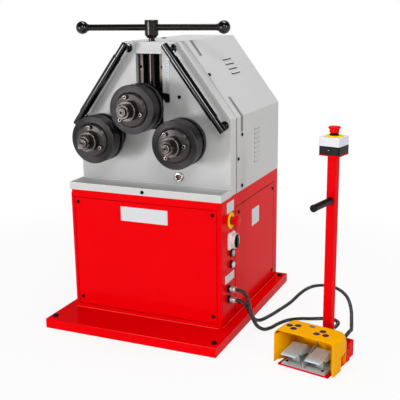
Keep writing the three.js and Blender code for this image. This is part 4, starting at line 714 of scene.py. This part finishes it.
def makeHandScrew(place, end, journal, collar, low, high, thread, neck, neckFoot, foot, narrow, hub, taper, top):
    place = Matrix.Translation(place)
    profile = [(0, end), (journal, end), (journal, low), (collar - 1, low), (collar, low + 1), (collar, high - 1),
               (collar - 1, high), (thread, high), (thread, neckFoot - 1), (neck, neckFoot), (neck, foot),
               (narrow, foot)]
    for step in range(3):
        z = foot + 2.2 + step * 2.6
        r = narrow + (hub - narrow) * (z - foot) / taper
        profile += [(r, z), (r - 0.9, z + 0.5), (r - 0.9, z + 0.9), (r + 0.9, z + 1.4)]
    profile += [(hub, foot + taper + 0.6), (hub, top - 7), (hub - 0.6, top - 6.4), (hub - 0.6, top - 5.8),
                (hub, top - 5.2), (hub, top - 2.2), (hub - 2.2, top), (hub * 0.35, top), (hub * 0.3, top - 1),
                (0, top - 1.2)]
    form = Form().turned(profile, place, sides=96, ease=0.5)
    form.become("hand_screw_turned", "bar_steel", "blackened_steel", place, "hand_screw", "screw_and_bar")


def makeCrossBar(place, turn, radius, half, ball, ferrule):
    axis = Matrix.Translation(place) @ Matrix.Rotation(radians(turn), 4, "Z") @ Matrix.Rotation(pi / 2, 4, "Y")
    edge = half - ball * cos(asin(ferrule / ball))
    bar = Form().turned([(radius, -half + 16), (radius, half - 16)], axis, sides=48)
    for side in (-1, 1):
        bar.turned([(radius - 0.5, side * (edge - 5)), (ferrule - 0.6, side * (edge - 4.4)),
                    (ferrule, side * (edge - 3.6)), (ferrule, side * (edge + 1))], axis, sides=48)
    bar.coat = 1
    arc = [(ball * sin(angle), ball * cos(angle)) for angle in (pi * step / 36 for step in range(37))]
    for side in (-1, 1):
        bar.turned([(r, side * (half - z)) for r, z in arc], axis, sides=56)
    bar.become("cross_bar", ("bar_steel", "black_gloss"), "black_gloss", axis, "hand_bar", "screw_and_bar", smooth=50)


makeHandScrew(**handScrew)
makeCrossBar(**crossBar)
print("hand screw and bar made")

# Diagonal support bars

supportBars = dict(foot=(274.4, 736.8), top=(84.7, 990.8), y=-195, grip=15, end=12.5, overhang=19, first=54,
                   post=8, out=45, rim=15, high=6)


def makeSupportBar(name, side, foot, top, y, grip, end, overhang, first, post, out, rim, high):
    foot, top = (Vector((side * x, y, z)) for x, z in (foot, top))
    along = (top - foot).normalized()
    length = (top - foot).length + overhang * 2
    axis, last = facing(foot - along * overhang, along), length - first
    form = Form().turned([
        (0, 0), (end - 1.2, 0), (end, 1.2), (end, first - 0.6), (end - 0.8, first - 0.4), (end - 0.8, first),
        (grip - 1.2, first), (grip, first + 1.2), (grip, last - 1.2), (grip - 1.2, last), (end - 0.8, last),
        (end - 0.8, last + 0.4), (end, last + 0.6), (end, length - 1.2), (end - 1.2, length), (0, length)],
        axis, sides=64, ease=0.3, steps=2)
    for point in (foot, top):
        form.turned([
            (0, 0.3), (rim - 0.8, 0.3), (rim, 1.1), (rim, high - 1.6), (rim - 1.6, high), (post + 1.2, high),
            (post, high + 1.2), (post, out), (0, out)], facing((point.x, head.plate, point.z), toUser),
            sides=48, ease=0.3, steps=2)
    form.become(name + "_smooth", "black_gloss", "black_gloss", axis, name)


makeSupportBar("support_bar_right", 1, **supportBars)
makeSupportBar("support_bar_left", -1, **supportBars)
print("support bars made")

# Guide bushing in the front plate

guideBushing = dict(place=(99, head.plate, 545), rim=16.5, high=7, hole=10, core=-1, shank=13.6, depth=34)


def makeGuideBushing(place, rim, high, hole, core, shank, depth):
    place = facing(place, toUser)
    form = Form().turned([
        (hole, core), (hole, high - 1.2), (hole + 1.2, high), (rim - 3.4, high), (rim - 1.2, high - 0.7),
        (rim, high - 2.4), (rim, 1.2), (rim - 0.8, 0.3), (shank, 0.3), (shank, -depth), (hole, -depth), (hole, core)],
        place, ease=0.3)
    form.coat = 1
    form.turned([(hole, core - 0.2), (hole - 1, core), (4.2, core), (3.6, core - 0.6), (3.6, core - 3), (0, core - 4)],
                place, sides=48)
    form.become("guide_bushing", ("gland_nickel", "bushing_bronze"), "bright_steel", place, "guide_socket")


makeGuideBushing(**guideBushing)

# Stop buttons: a yellow disc, a black collar and a red mushroom head

stopDisc = dict(inner=13.5, rim=29, high=3.2)
stopCollar = dict(rim=14.5, high=8, bore=8.5, cup=13.4, floor=3.6, barrelFoot=-22.5)
stopHead = dict(stem=8, stemFoot=6.6, neck=13, low=9, grip=15.4, wall=0.6, ceiling=12.6, wide=19.5, foot=24.2, top=32.2)

# What every control has behind the cabinet's wall
wallBlock = dict(barrel=10.8, half=17, depth=42, face=-9)


def throughWall(form, place, barrel, half, depth, face):
    form.rod(barrel, face - 1, 1, place)
    form.slab((-half, -half, face - depth), (half, half, face), 1, place)


def makeStopDisc(name, place, inner, rim, high):
    form = Form().turned([
        (inner, 0.3), (rim - 0.4, 0.3), (rim, 0.7), (rim, high - 0.9), (rim - 0.9, high), (inner, high), (inner, 0.3)],
        place, sides=96, ease=0.4)
    form.become(name + "_yellow_disc", "signal_yellow", "yellow_plastic", place, "estop_collar_" + name)


def makeStopCollar(name, place, rim, high, bore, cup, floor, barrelFoot):
    form = Form().turned([
        (bore, 1.6), (rim, 1.6), (rim, high - 0.6), (rim - 0.5, high), (cup, high), (cup, floor), (bore, floor),
        (bore, 1.6)], place, sides=60, ease=0.2)
    if name == "pedestal":
        form.rod(wallBlock["barrel"], barrelFoot, 1.6, place)
    else:
        throughWall(form, place, **wallBlock)
    form.become(name + "_stop_collar", "black_plastic", "black_plastic", place)


def makeStopHead(name, place, skirt, stem, stemFoot, neck, low, grip, wall, ceiling, wide, foot, top):
    form = Form()
    form.coat = 1
    form.turned([(0, stemFoot), (stem, stemFoot), (stem, low), (neck - 1, low), (neck, low + 1), (neck, ceiling + 0.1),
                 (0, ceiling + 0.1)], place, sides=84, ease=0.4)
    form.coat = 0
    form.turned([
        (0, ceiling), (grip - wall, ceiling), (grip - wall, skirt), (grip, skirt), (grip, foot - 2.6),
        (grip + 1, foot - 1.4), (wide - 1, foot - 0.2), (wide, foot + 1), (wide, foot + 3.4), (wide - 0.5, foot + 5),
        (wide - 2.2, foot + 6.6), (wide * 0.72, foot + 7.4), (wide * 0.4, top - 0.15), (0, top)],
        place, sides=84, ease=0.7)
    body = name + "_stop_head"
    form.become(body, ("red_plastic", "black_plastic"), "red_plastic", place, "estop_button_" + name, body, smooth=50)


stopButtons = {"cabinet": (facing((cabinet.side, controlsY, 407), toRight), 7.4),
               "pedestal": (pedestalAt(0, 177, 731.6), 11.6)}
for name, (place, skirt) in stopButtons.items():
    makeStopDisc(name, place, **stopDisc)
    makeStopCollar(name, place, **stopCollar)
    makeStopHead(name, place, skirt, **stopHead)
print("stop buttons made")

# Main switch

switchBody = dict(size=60, deck=6, corner=9, drum=27, rim=23.3, bore=24.9, low=17.8, pin=4.4, screw=3.1, reach=24)
switchKnob = dict(knob=24.4, pin=4, foot=19.4, high=23, half=7.5, top=28.4)


def makeSwitchBody(place, size, deck, corner, drum, rim, bore, low, pin, screw, reach):
    form = Form().plate(size, size, 0.3, deck, corner, place, 1.2)
    form.turned([
        (0, deck - 1), (drum + 1.4, deck - 1), (drum + 1.4, deck + 1.6), (drum, deck + 3), (drum, rim - 0.9),
        (drum - 0.7, rim), (bore + 0.1, rim), (bore, low), (pin, low), (pin, 3), (0, 3)], place, sides=96, ease=0.4)
    throughWall(form, place, **wallBlock)
    for x, y in ((-reach, -reach), (-reach, reach), (reach, -reach), (reach, reach)):
        form.turned([(0, deck - 0.5), (screw, deck - 0.5), (screw, deck + 0.5), (screw - 0.5, deck + 1), (0, deck + 1)],
                    place @ Matrix.Translation((x, y, 0)), sides=24)
    form.become("main_switch_housing", "switch_grey", "switch_grey", place, "main_switch_body")


def makeSwitchKnob(place, knob, pin, foot, high, half, top):
    form = Form().turned([
        (0, foot - 10), (pin, foot - 10), (pin, foot), (knob - 0.8, foot), (knob, foot + 0.8), (knob, high - 1),
        (knob - 1, high), (knob - 3.4, high), (knob - 4, high - 0.6), (0, high - 0.6)], place, sides=84, ease=0.3)
    form.slab((-half, -knob + 1.5, high - 1.2), (half, knob - 1.5, top), 1.8, place, 3)
    form.coat = 1
    form.slab((-0.9, knob * 0.45, top - 0.3), (0.9, knob - 4, top + 0.15), 0.1, place, 1)
    form.become("main_switch_handle", ("black_plastic", "white_plastic"), "black_plastic", place, "main_switch_knob",
                "switch_knob")


place = facing((cabinet.side, controlsY, 335), toRight)
makeSwitchBody(place, **switchBody)
makeSwitchKnob(place, **switchKnob)

# Push buttons

pushButtons = dict(rim=14, high=9, bore=11.8, cap=11.3, foot=5.6, top=13,
                   caps={"upper": (290, "cap_grey"), "lower": (247, "white_plastic")})


def makePushButtons(rim, high, bore, cap, foot, top, caps):
    bezels = Form()
    for key, (z, finish) in caps.items():
        place = facing((cabinet.side, controlsY, z), toRight)
        bezels.turned([
            (0, 1.8), (bore, 1.8), (bore, high - 0.8), (bore + 0.8, high), (rim - 1, high - 0.2), (rim, high - 1.6),
            (rim, 3.2), (rim + 0.6, 2.4), (rim + 0.6, 0.3), (0, 0.3)], place, sides=60, ease=0.3)
        throughWall(bezels, place, **wallBlock)
        form = Form().turned([
            (0, foot), (cap, foot), (cap, top - 1), (cap - 1, top), (cap - 2.4, top - 0.1), (cap * 0.5, top - 0.6),
            (0, top - 0.7)], place, sides=60, ease=0.3)
        form.become(key + "_button_cap", finish, "white_plastic", place, "push_button_" + key, key + "_button")
    bezels.become("push_button_bezels", "black_plastic", "black_plastic", hides="button_bezels")


makePushButtons(**pushButtons)

# Conduit glands

smallGland = dict(wide=21.6, high=5, nut=9.5, barrel=4.5, finish=("gland_nickel", "gland_nickel"))
glands = {
    "cabinet_glands": dict(
        wide=25.6, high=10, nut=10.5, end=30, barrel=9.4, low=-11, finish=("black_plastic", "gland_nickel"),
        places=[facing((cabinet.side, -181, z), toRight) for z in (165, 126)],
        bracket=((285, -194, 113), (288, -168, 178))),
    "gland_foot_switch": dict(smallGland, end=25, low=-7, places=[pedestalPlace @ facing((70, 110, 78), toRear)]),
    "gland_post": dict(smallGland, end=21, low=-6.5, places=[pedestalPlace @ facing((0, 192, 68), toRear)]),
}


def makeGlands(name, wide, high, nut, end, barrel, low, finish, places, bracket=None):
    form = Form()
    for place in places:
        form.coat = 0
        rings = ((wide - 0.8, 0.3), (wide, 0.9), (wide, high - 1.2), (wide - 1.6, high))
        form.loops([hexagon(*ring, 48) for ring in rings], place)
        form.rod(barrel, low, 1, place)
        form.coat = 1
        profile = [(0, high - 0.6), (nut, high - 0.6)]
        for step in range(4):
            z = high + 1.4 + step * (end - high - 6.4) / 4
            profile += [(nut, z), (nut - 0.5, z + 0.4), (nut - 0.5, z + 0.9), (nut, z + 1.3)]
        profile += [(nut, end - 6.5), (nut - 1.5, end - 5), (nut - 1.5, end - 0.9), (nut - 2.4, end), (0, end)]
        form.turned(profile, place, sides=48, ease=0.15, steps=1)
    if bracket:
        form.coat = 0
        form.slab(*bracket, 0.5)
    form.become(name + "_turned", finish, "gland_nickel", places[0], name)


for name, row in glands.items():
    makeGlands(name, **row)
print("switches, buttons and glands made")

# Button head screws on the panels and the cover, and the base's dome bolts
# Each row: radius, height and socket, then the places and directions

buttonHead, socketTurn = (6.5, 4.3, 4.2), 0.3
coverSpots = ((-44, 508), (-44, 691), (-80, 610))
screwSets = {
    "front_panel_screws": (buttonHead, [((x, cabinet.front, z), toUser) for x in (-264, 264) for z in (79, 445)]),
    "side_panel_screws": (buttonHead, [((cabinet.side, y, z), toRight) for y in (-76, 303) for z in (75, 418)]),
    "tray_screw": (buttonHead, [((0, -245, 502.3), toUser)]),
    "plate_screw": (buttonHead, [((106, head.plate, 827), toUser)]),
    "cover_screws_right": (buttonHead, [((cabinet.side, y, z), toRight) for y, z in coverSpots]
                           + [((188.47, -80, 898.6), slantRight)]),
    "cover_screws_left": (buttonHead, [((-cabinet.side, y, z), toLeft) for y, z in coverSpots]
                          + [((-188.47, -80, 898.6), slantLeft)]),
    "base_bolts": ((10.6, 8, 7), [((x, y, 35), up) for x in (-314, 314) for y in (-356, 356)]),
    "rail_screws": ((3.6, 1.8, 2.6), [((-8 + x, -130.2, 925.7), toUser) for x in (-41.35, 41.35)]),
}
for name, (size, spots) in screwSets.items():
    form = Form()
    for place, direction in spots:
        form.screw(facing(place, direction, socketTurn), *size)
    form.become(name, ("screw_black", "socket_black"), "blackened_steel")

# Bare plates: the nameplate and three small ones; each row: place, direction, size, corner

barePlates = {
    "front_nameplate": ((3, cabinet.front, 418), toUser, (184, 52), 1.5),
    "upper_side_plate": ((cabinet.side, -156.5, 457), toRight, (65, 38), 1),
    "lower_side_plate": ((cabinet.side, -164.5, 202), toRight, (85, 30), 1),
    "side_panel_plate": ((cabinet.side, 102.5, 359), toRight, (78, 64), 1),
}
plateFoot, plateTop, plateEdge = 0.05, 0.7, 0.25
for name, (spot, direction, size, corner) in barePlates.items():
    place = facing(spot, direction)
    form = Form().plate(*size, plateFoot, plateTop, corner, place, plateEdge)
    form.become(name, "label_silver", "bright_steel", place)

# Scale graduations, the first of the pieces made of thin boxes; each box: low corner, high corner, turn

scaleMarks = dict(x=56.5, y=-152.3, low=840, count=25, pitch=5, short=5, long=9, half=0.35)


def graduations(x, y, low, count, pitch, short, long, half):
    for i in range(count):
        reach, z = short if i % 2 else long, low + i * pitch
        yield (x, y - 0.12, z - half), (x + reach, y + 0.1, z + half), Matrix()


def layBoxes(name, boxes, finish, slot, ease, steps=1):
    form = Form()
    for low, high, turn in boxes:
        form.slab(low, high, ease, turn, steps)
    form.become(name, finish, slot)


layBoxes("scale_graduations", graduations(**scaleMarks), "socket_black", "blackened_steel", 0.05)

# Plug on the head's top, marks and plate on the hood

topPlug = dict(place=Matrix.Translation((-58, 74, 1013)), radius=10, high=3)
hoodMarks = dict(top=121.3, radius=11, high=0.5, plateAt=(-10, 80), plate=(20, 15), plateTop=0.6,
                 spots=[(-76, 50), (-52, 62), (-54, 34), (27, 38), (36, 64), (56, 42)])


def makeTopPlug(place, radius, high):
    form = Form().turned([(0, -0.4), (radius, -0.4), (radius, 0.8), (radius - 1.4, high - 0.5), (radius - 3, high),
                          (0, high)], place, sides=48, ease=0.5)
    form.become("head_top_plug", "black_plastic", "black_plastic", place)


def makeHoodMarks(top, radius, high, plateAt, plate, plateTop, spots):
    marks = Form()
    for x, y in spots:
        marks.turned([(0, -0.2), (radius, -0.2), (radius, high * 0.6), (radius - 0.5, high), (0, high)],
                     pedestalAt(x, y, top), sides=40)
    marks.become("hood_round_marks", "hood_mark", "black_plastic", pedestalPlace)
    place = pedestalAt(*plateAt, top)
    form = Form().plate(*plate, -0.2, plateTop, 1, place, 0.2)
    form.become("hood_plate", "hood_label", "bright_steel", place)


makeTopPlug(**topPlug)
makeHoodMarks(**hoodMarks)

# Lining behind the pedals, two screws and the ribs of the foot plate

hoodLining = dict(start=2.4, end=100.5, front=100.8, back=103.4, low=12, high=92, cheek=80, bend=34, bendHigh=116,
                  mouth=(102.3, 3), mouthHigh=103)
footPlate = dict(screws=[(-66, 17), (62, 16)], size=(5.2, 1.8, 4.6), top=11.3, count=26, wide=74, half=1.3,
                 front=1.5, back=20, rise=0.7, gap=3.4)


def makeHoodLining(start, end, front, back, low, high, cheek, bend, bendHigh, mouth, mouthHigh):
    form = Form()
    x, y = mouth
    outline = [(cheek, back, high), (cheek, bend, bendHigh), (x - 1.6, y, mouthHigh), (x, y, mouthHigh),
               (cheek + 2, bend + 1, bendHigh), (cheek + 2, back, high)]
    for side in (-1, 1):
        left, right = sorted((side * start, side * end))
        form.slab((left, front, low), (right, back, high), 0.6, pedestalPlace)
        rings = [[(side * px, py, low) for px, py, pz in outline], [(side * px, py, pz) for px, py, pz in outline]]
        form.loops(rings, pedestalPlace)
    form.become("hood_lining", "yellow_plastic", "yellow_plastic", pedestalPlace)


def makeFootPlate(screws, size, top, count, wide, half, front, back, rise, gap):
    heads, ribs = Form(), Form()
    for x, y in screws:
        heads.screw(pedestalAt(x, y, top), *size)
    # The ribs take the near-white finish: painted highlight on the rib tops
    for i in range(count):
        x = -wide + 2 * wide * (i + 0.5) / count
        if abs(x) > gap:
            ribs.slab((x - half, front, top - 0.2), (x + half, back, top + rise), 0.35, pedestalPlace, 1)
    ribs.become("foot_plate_ribs", "edge_grey", "cast_grey", pedestalPlace)
    heads.become("foot_plate_screws", ("screw_black", "socket_black"), "blackened_steel", pedestalPlace)


makeHoodLining(**hoodLining)
makeFootPlate(**footPlate)

# Thin boxes laid on the sheets: dark joint round the side panel, widened as painted shade at its front edge and top,
# joint lines, light edge strips that are painted highlights, dark strips under the louvres that are painted shadow, and
# darker grey bands along and inside the cover's slots

# Dark joint round the side panel; its wider strips at the front edge and top are painted shade
panelJointShade = dict(front=-108, back=317, low=45, high=442, widths=(5.5, 1.2, 2.6, 1.2), proud=0.35)
frontSeam = dict(half=278.6, low=51.4, high=461.6, widths=(2, 2, 2, 2), proud=0.3)
headSeam = dict(y=head.plateBack, side=(490.5, 755, 4.6), slant=(1, 319.5, 1.5), proud=0.3)
# Light strips along the top edges of the base pan, the cabinet foot and the tray: painted highlights
redHighlightEdges = [((-332, -390.9, 33.9), (332, -389.9, 34.9)), ((332.9, -389, 33.9), (333.9, 389, 34.9)),
            ((-292, -244, 35), (285, -243, 36.6)), ((294.8, -232, 35), (296, 366, 36.6))]
greyHighlightEdges = [((-296.6, -245.1, 515.4), (296.6, -244, 516.3)), ((296.1, -244.6, 515.4), (297, -151, 516.3)),
             ((-294.2, -153, 515.6), (294.2, -150.5, 516.6))]
# Dark strips on the cover just below each louvre mouth: painted shadow
# Rows of louvres: start, pitch, count
louvreShadows = dict(slant=(171, 20.5, 4), slantY=(106, 190), run=0.5985, rise=0.8011,
                   side=(700, 17.4, 8), sideY=(86, 142), drop=9.1, reach=2.6, proud=0.5)
# Darker grey strips along both sides of each cover slot and a grey strip sunk inside it
slotBand = dict(y=-43, half=4.5, width=6, proud=0.45, sunk=-1.3,
                slant=[(254.8, 320), (0.5, 80)], side=(701, 755.5))


# The four strips round an opening, each as left, right, low, high.
def border(left, right, low, high, before, after, above, below):
    return ((left - before, left, low - below, high + above), (right, right + after, low - below, high + above),
            (left, right, high, high + above), (left, right, low - below, low))


def jointShadeStrips(front, back, low, high, widths, proud):
    for y0, y1, z0, z1 in border(front, back, low, high, *widths):
        yield (cabinet.side - 0.2, y0, z0), (cabinet.side + proud, y1, z1), Matrix()


def frontStrips(half, low, high, widths, proud):
    for x0, x1, z0, z1 in border(-half, half, low, high, *widths):
        yield (x0, cabinet.front - proud, z0), (x1, cabinet.front + 0.2, z1), Matrix()


def headStrips(y, side, slant, proud):
    for flip in bothSides:
        for out, turn, (low, high, width) in ((cabinet.side, flip, side), (0, flip @ slope, slant)):
            yield (out - 0.2, y - width / 2, low), (out + proud, y + width / 2, high), turn


def edgeStrips(boxes):
    return [(low, high, Matrix()) for low, high in boxes]


# Dark strips just below each louvre, on both sides: painted shadow of the louvre mouths
def louvreShadowStrips(slant, slantY, run, rise, side, sideY, drop, reach, proud):
    for flip in bothSides:
        start, pitch, count = slant
        for i in range(count):
            along = start + pitch * i
            place = Matrix.Translation((cabinet.side - run * along, 0, head.shoulder + rise * along))
            yield (0.05, slantY[0], -drop - reach), (proud, slantY[1], -drop), flip @ place @ leaning
        top, pitch, count = side
        for i in range(count):
            z = top - pitch * i - drop
            yield (cabinet.side + 0.05, sideY[0], z - reach), (cabinet.side + proud, sideY[1], z), flip


def slotBandStrips(y, half, width, proud, sunk, slant, side):
    edge = half + width
    for low, high, under, over in ((y - edge, y - half, 0.02, proud), (y + half, y + edge, 0.02, proud),
                                   (y - half, y + half, sunk, sunk + 0.4)):
        for flip in bothSides:
            for start, end in slant:
                yield (under, low, start), (over, high, end), flip @ slope
            yield (cabinet.side + under, low, side[0]), (cabinet.side + over, high, side[1]), flip


# Each row: boxes, finish, slot, softened edge and, where it isn't one, the edge's steps
laidOn = {
    "side_panel_joint_shade": (jointShadeStrips(**panelJointShade), "socket_black", "black_plastic", 0.15),
    "head_seam": (headStrips(**headSeam), "socket_black", "black_plastic", 0.1),
    "front_panel_seam": (frontStrips(**frontSeam), "seam_red", "red_paint", 0.1),
    "red_edge_highlights": (edgeStrips(redHighlightEdges), "edge_red", "red_paint", 0.3, 2),
    "grey_edge_highlights": (edgeStrips(greyHighlightEdges), "edge_grey", "grey_paint", 0.3, 2),
    "louvre_painted_shadows": (louvreShadowStrips(**louvreShadows), "socket_black", "black_plastic", 0.1),
    "cover_slot_band": (slotBandStrips(**slotBand), "trim_grey", "black_plastic", 0.12),
}
for name, row in laidOn.items():
    layBoxes(name, *row)

# Handle rod of the pedestal's post and the plug of its box

postHandle = dict(place=(0, 177, 526), radius=12, length=118, start=15.3, peg=5, pegLength=12)
boxPlug = dict(place=(0, 142, 688.3), size=(8, 4, 5))


def makePostHandle(place, radius, length, start, peg, pegLength):
    place = pedestalPlace @ facing(place, toUser)
    end, foot = start + length, start - pegLength
    form = Form().turned([
        (0, foot), (peg, foot), (peg, start), (radius - 1.2, start), (radius, start + 1.2), (radius, start + 5),
        (radius - 0.8, start + 6), (radius - 0.8, end - 9), (radius, end - 8), (radius, end - 2.4), (radius - 2.4, end),
        (4.5, end), (4, end - 2), (0, end - 2.2)], place, sides=60, ease=0.5)
    form.become("post_handle_turned", "black_plastic", "black_plastic", place, "post_handle")


def makeBoxPlug(place, size):
    place = pedestalPlace @ facing(place, toUser)
    Form().screw(place, *size).become("stop_box_plug", ("black_gloss", "socket_black"), "black_plastic", place)


makePostHandle(**postHandle)
makeBoxPlug(**boxPlug)
print("screws, plates and small pieces made")

# Sheet metal and castings that keep their solids: softened edges and a finish each

sharpAngle = radians(33)


def edgeShading():
    group = bpy.data.node_groups.new("edgeShading", "GeometryNodeTree")
    group.interface.new_socket("Geometry", in_out="INPUT", socket_type="NodeSocketGeometry")
    group.interface.new_socket("Geometry", in_out="OUTPUT", socket_type="NodeSocketGeometry")
    start, merge, strip, faces, edges, end, angle, compare = (group.nodes.new(kind) for kind in (
        "NodeGroupInput", "GeometryNodeMergeByDistance", "GeometryNodeRemoveAttribute", "GeometryNodeSetShadeSmooth",
        "GeometryNodeSetShadeSmooth", "NodeGroupOutput", "GeometryNodeInputMeshEdgeAngle", "FunctionNodeCompare"))
    merge.inputs["Distance"].default_value = 0.00001
    strip.inputs["Name"].default_value = "custom_normal"
    edges.domain = "EDGE"
    edges.inputs["Shade Smooth"].default_value = False
    compare.operation = "GREATER_THAN"
    compare.inputs[1].default_value = sharpAngle
    chain = (start, merge, strip, faces, edges, end)
    for before, after in [*zip(chain, chain[1:]), (angle, compare)]:
        group.links.new(before.outputs[0], after.inputs[0])
    group.links.new(compare.outputs[0], edges.inputs["Selection"])
    return group


shading = edgeShading()

# finish: each node that takes it and its edge radius in millimetres
keptSolids = {
    "red_paint": {"base_plate": 0.9, "cabinet_shell": 0.8, "front_access_panel": 0.8, "side_access_panel": 0.8,
                  "pedestal_base": 1, "pedestal_post": 0.5},
    "grey_paint": {"drip_tray": 0.9, "head_front_plate": 1.8, "head_cover": 0, "bridge_block": 1},
    "head_shadow": {"head_inner_plate": 0.6},
    "rail_steel": {"guide_rail_left": 0.6, "guide_rail_right": 0.6},
    "plate_silver": {"scale_strip": 0.3},
    "cast_grey": {"gear_motor": 2, "wiring_panel": 0.5},
    "black_plastic": {"stop_box_lower": 0.8},
    "white_plastic": {"stop_box_lid": 1},
    "plate_paint": {"foot_switch_frame": 0.5},
    "yellow_plastic": {"foot_switch_hood": 1},
    "bright_steel": {"drive_gear_left": 0.5, "drive_gear_right": 0.5, "drive_pinion": 0.5},
    "slide_steel": {"top_slide_block": 1},
    "pedal_metal": {"foot_pedal_left": 0.7, "foot_pedal_right": 0.7},
}


def dress(name, finish, edge):
    kept = nodes[name]
    kept.data.materials[0] = finishes[finish]
    smooth = kept.modifiers.new("edgeShading", "NODES")
    smooth.node_group = shading
    if edge:
        bevel = kept.modifiers.new("foldedEdges", "BEVEL")
        bevel.width = edge * mm
        bevel.segments = 2
        bevel.limit_method = "ANGLE"
        bevel.angle_limit = sharpAngle
        bevel.miter_outer = "MITER_ARC"
        bevel.harden_normals = True
    shadeEvenly(kept)


for finish, edges in keptSolids.items():
    for name, edge in edges.items():
        dress(name, finish, edge)
print("kept solids dressed:", sum(len(edges) for edges in keptSolids.values()))
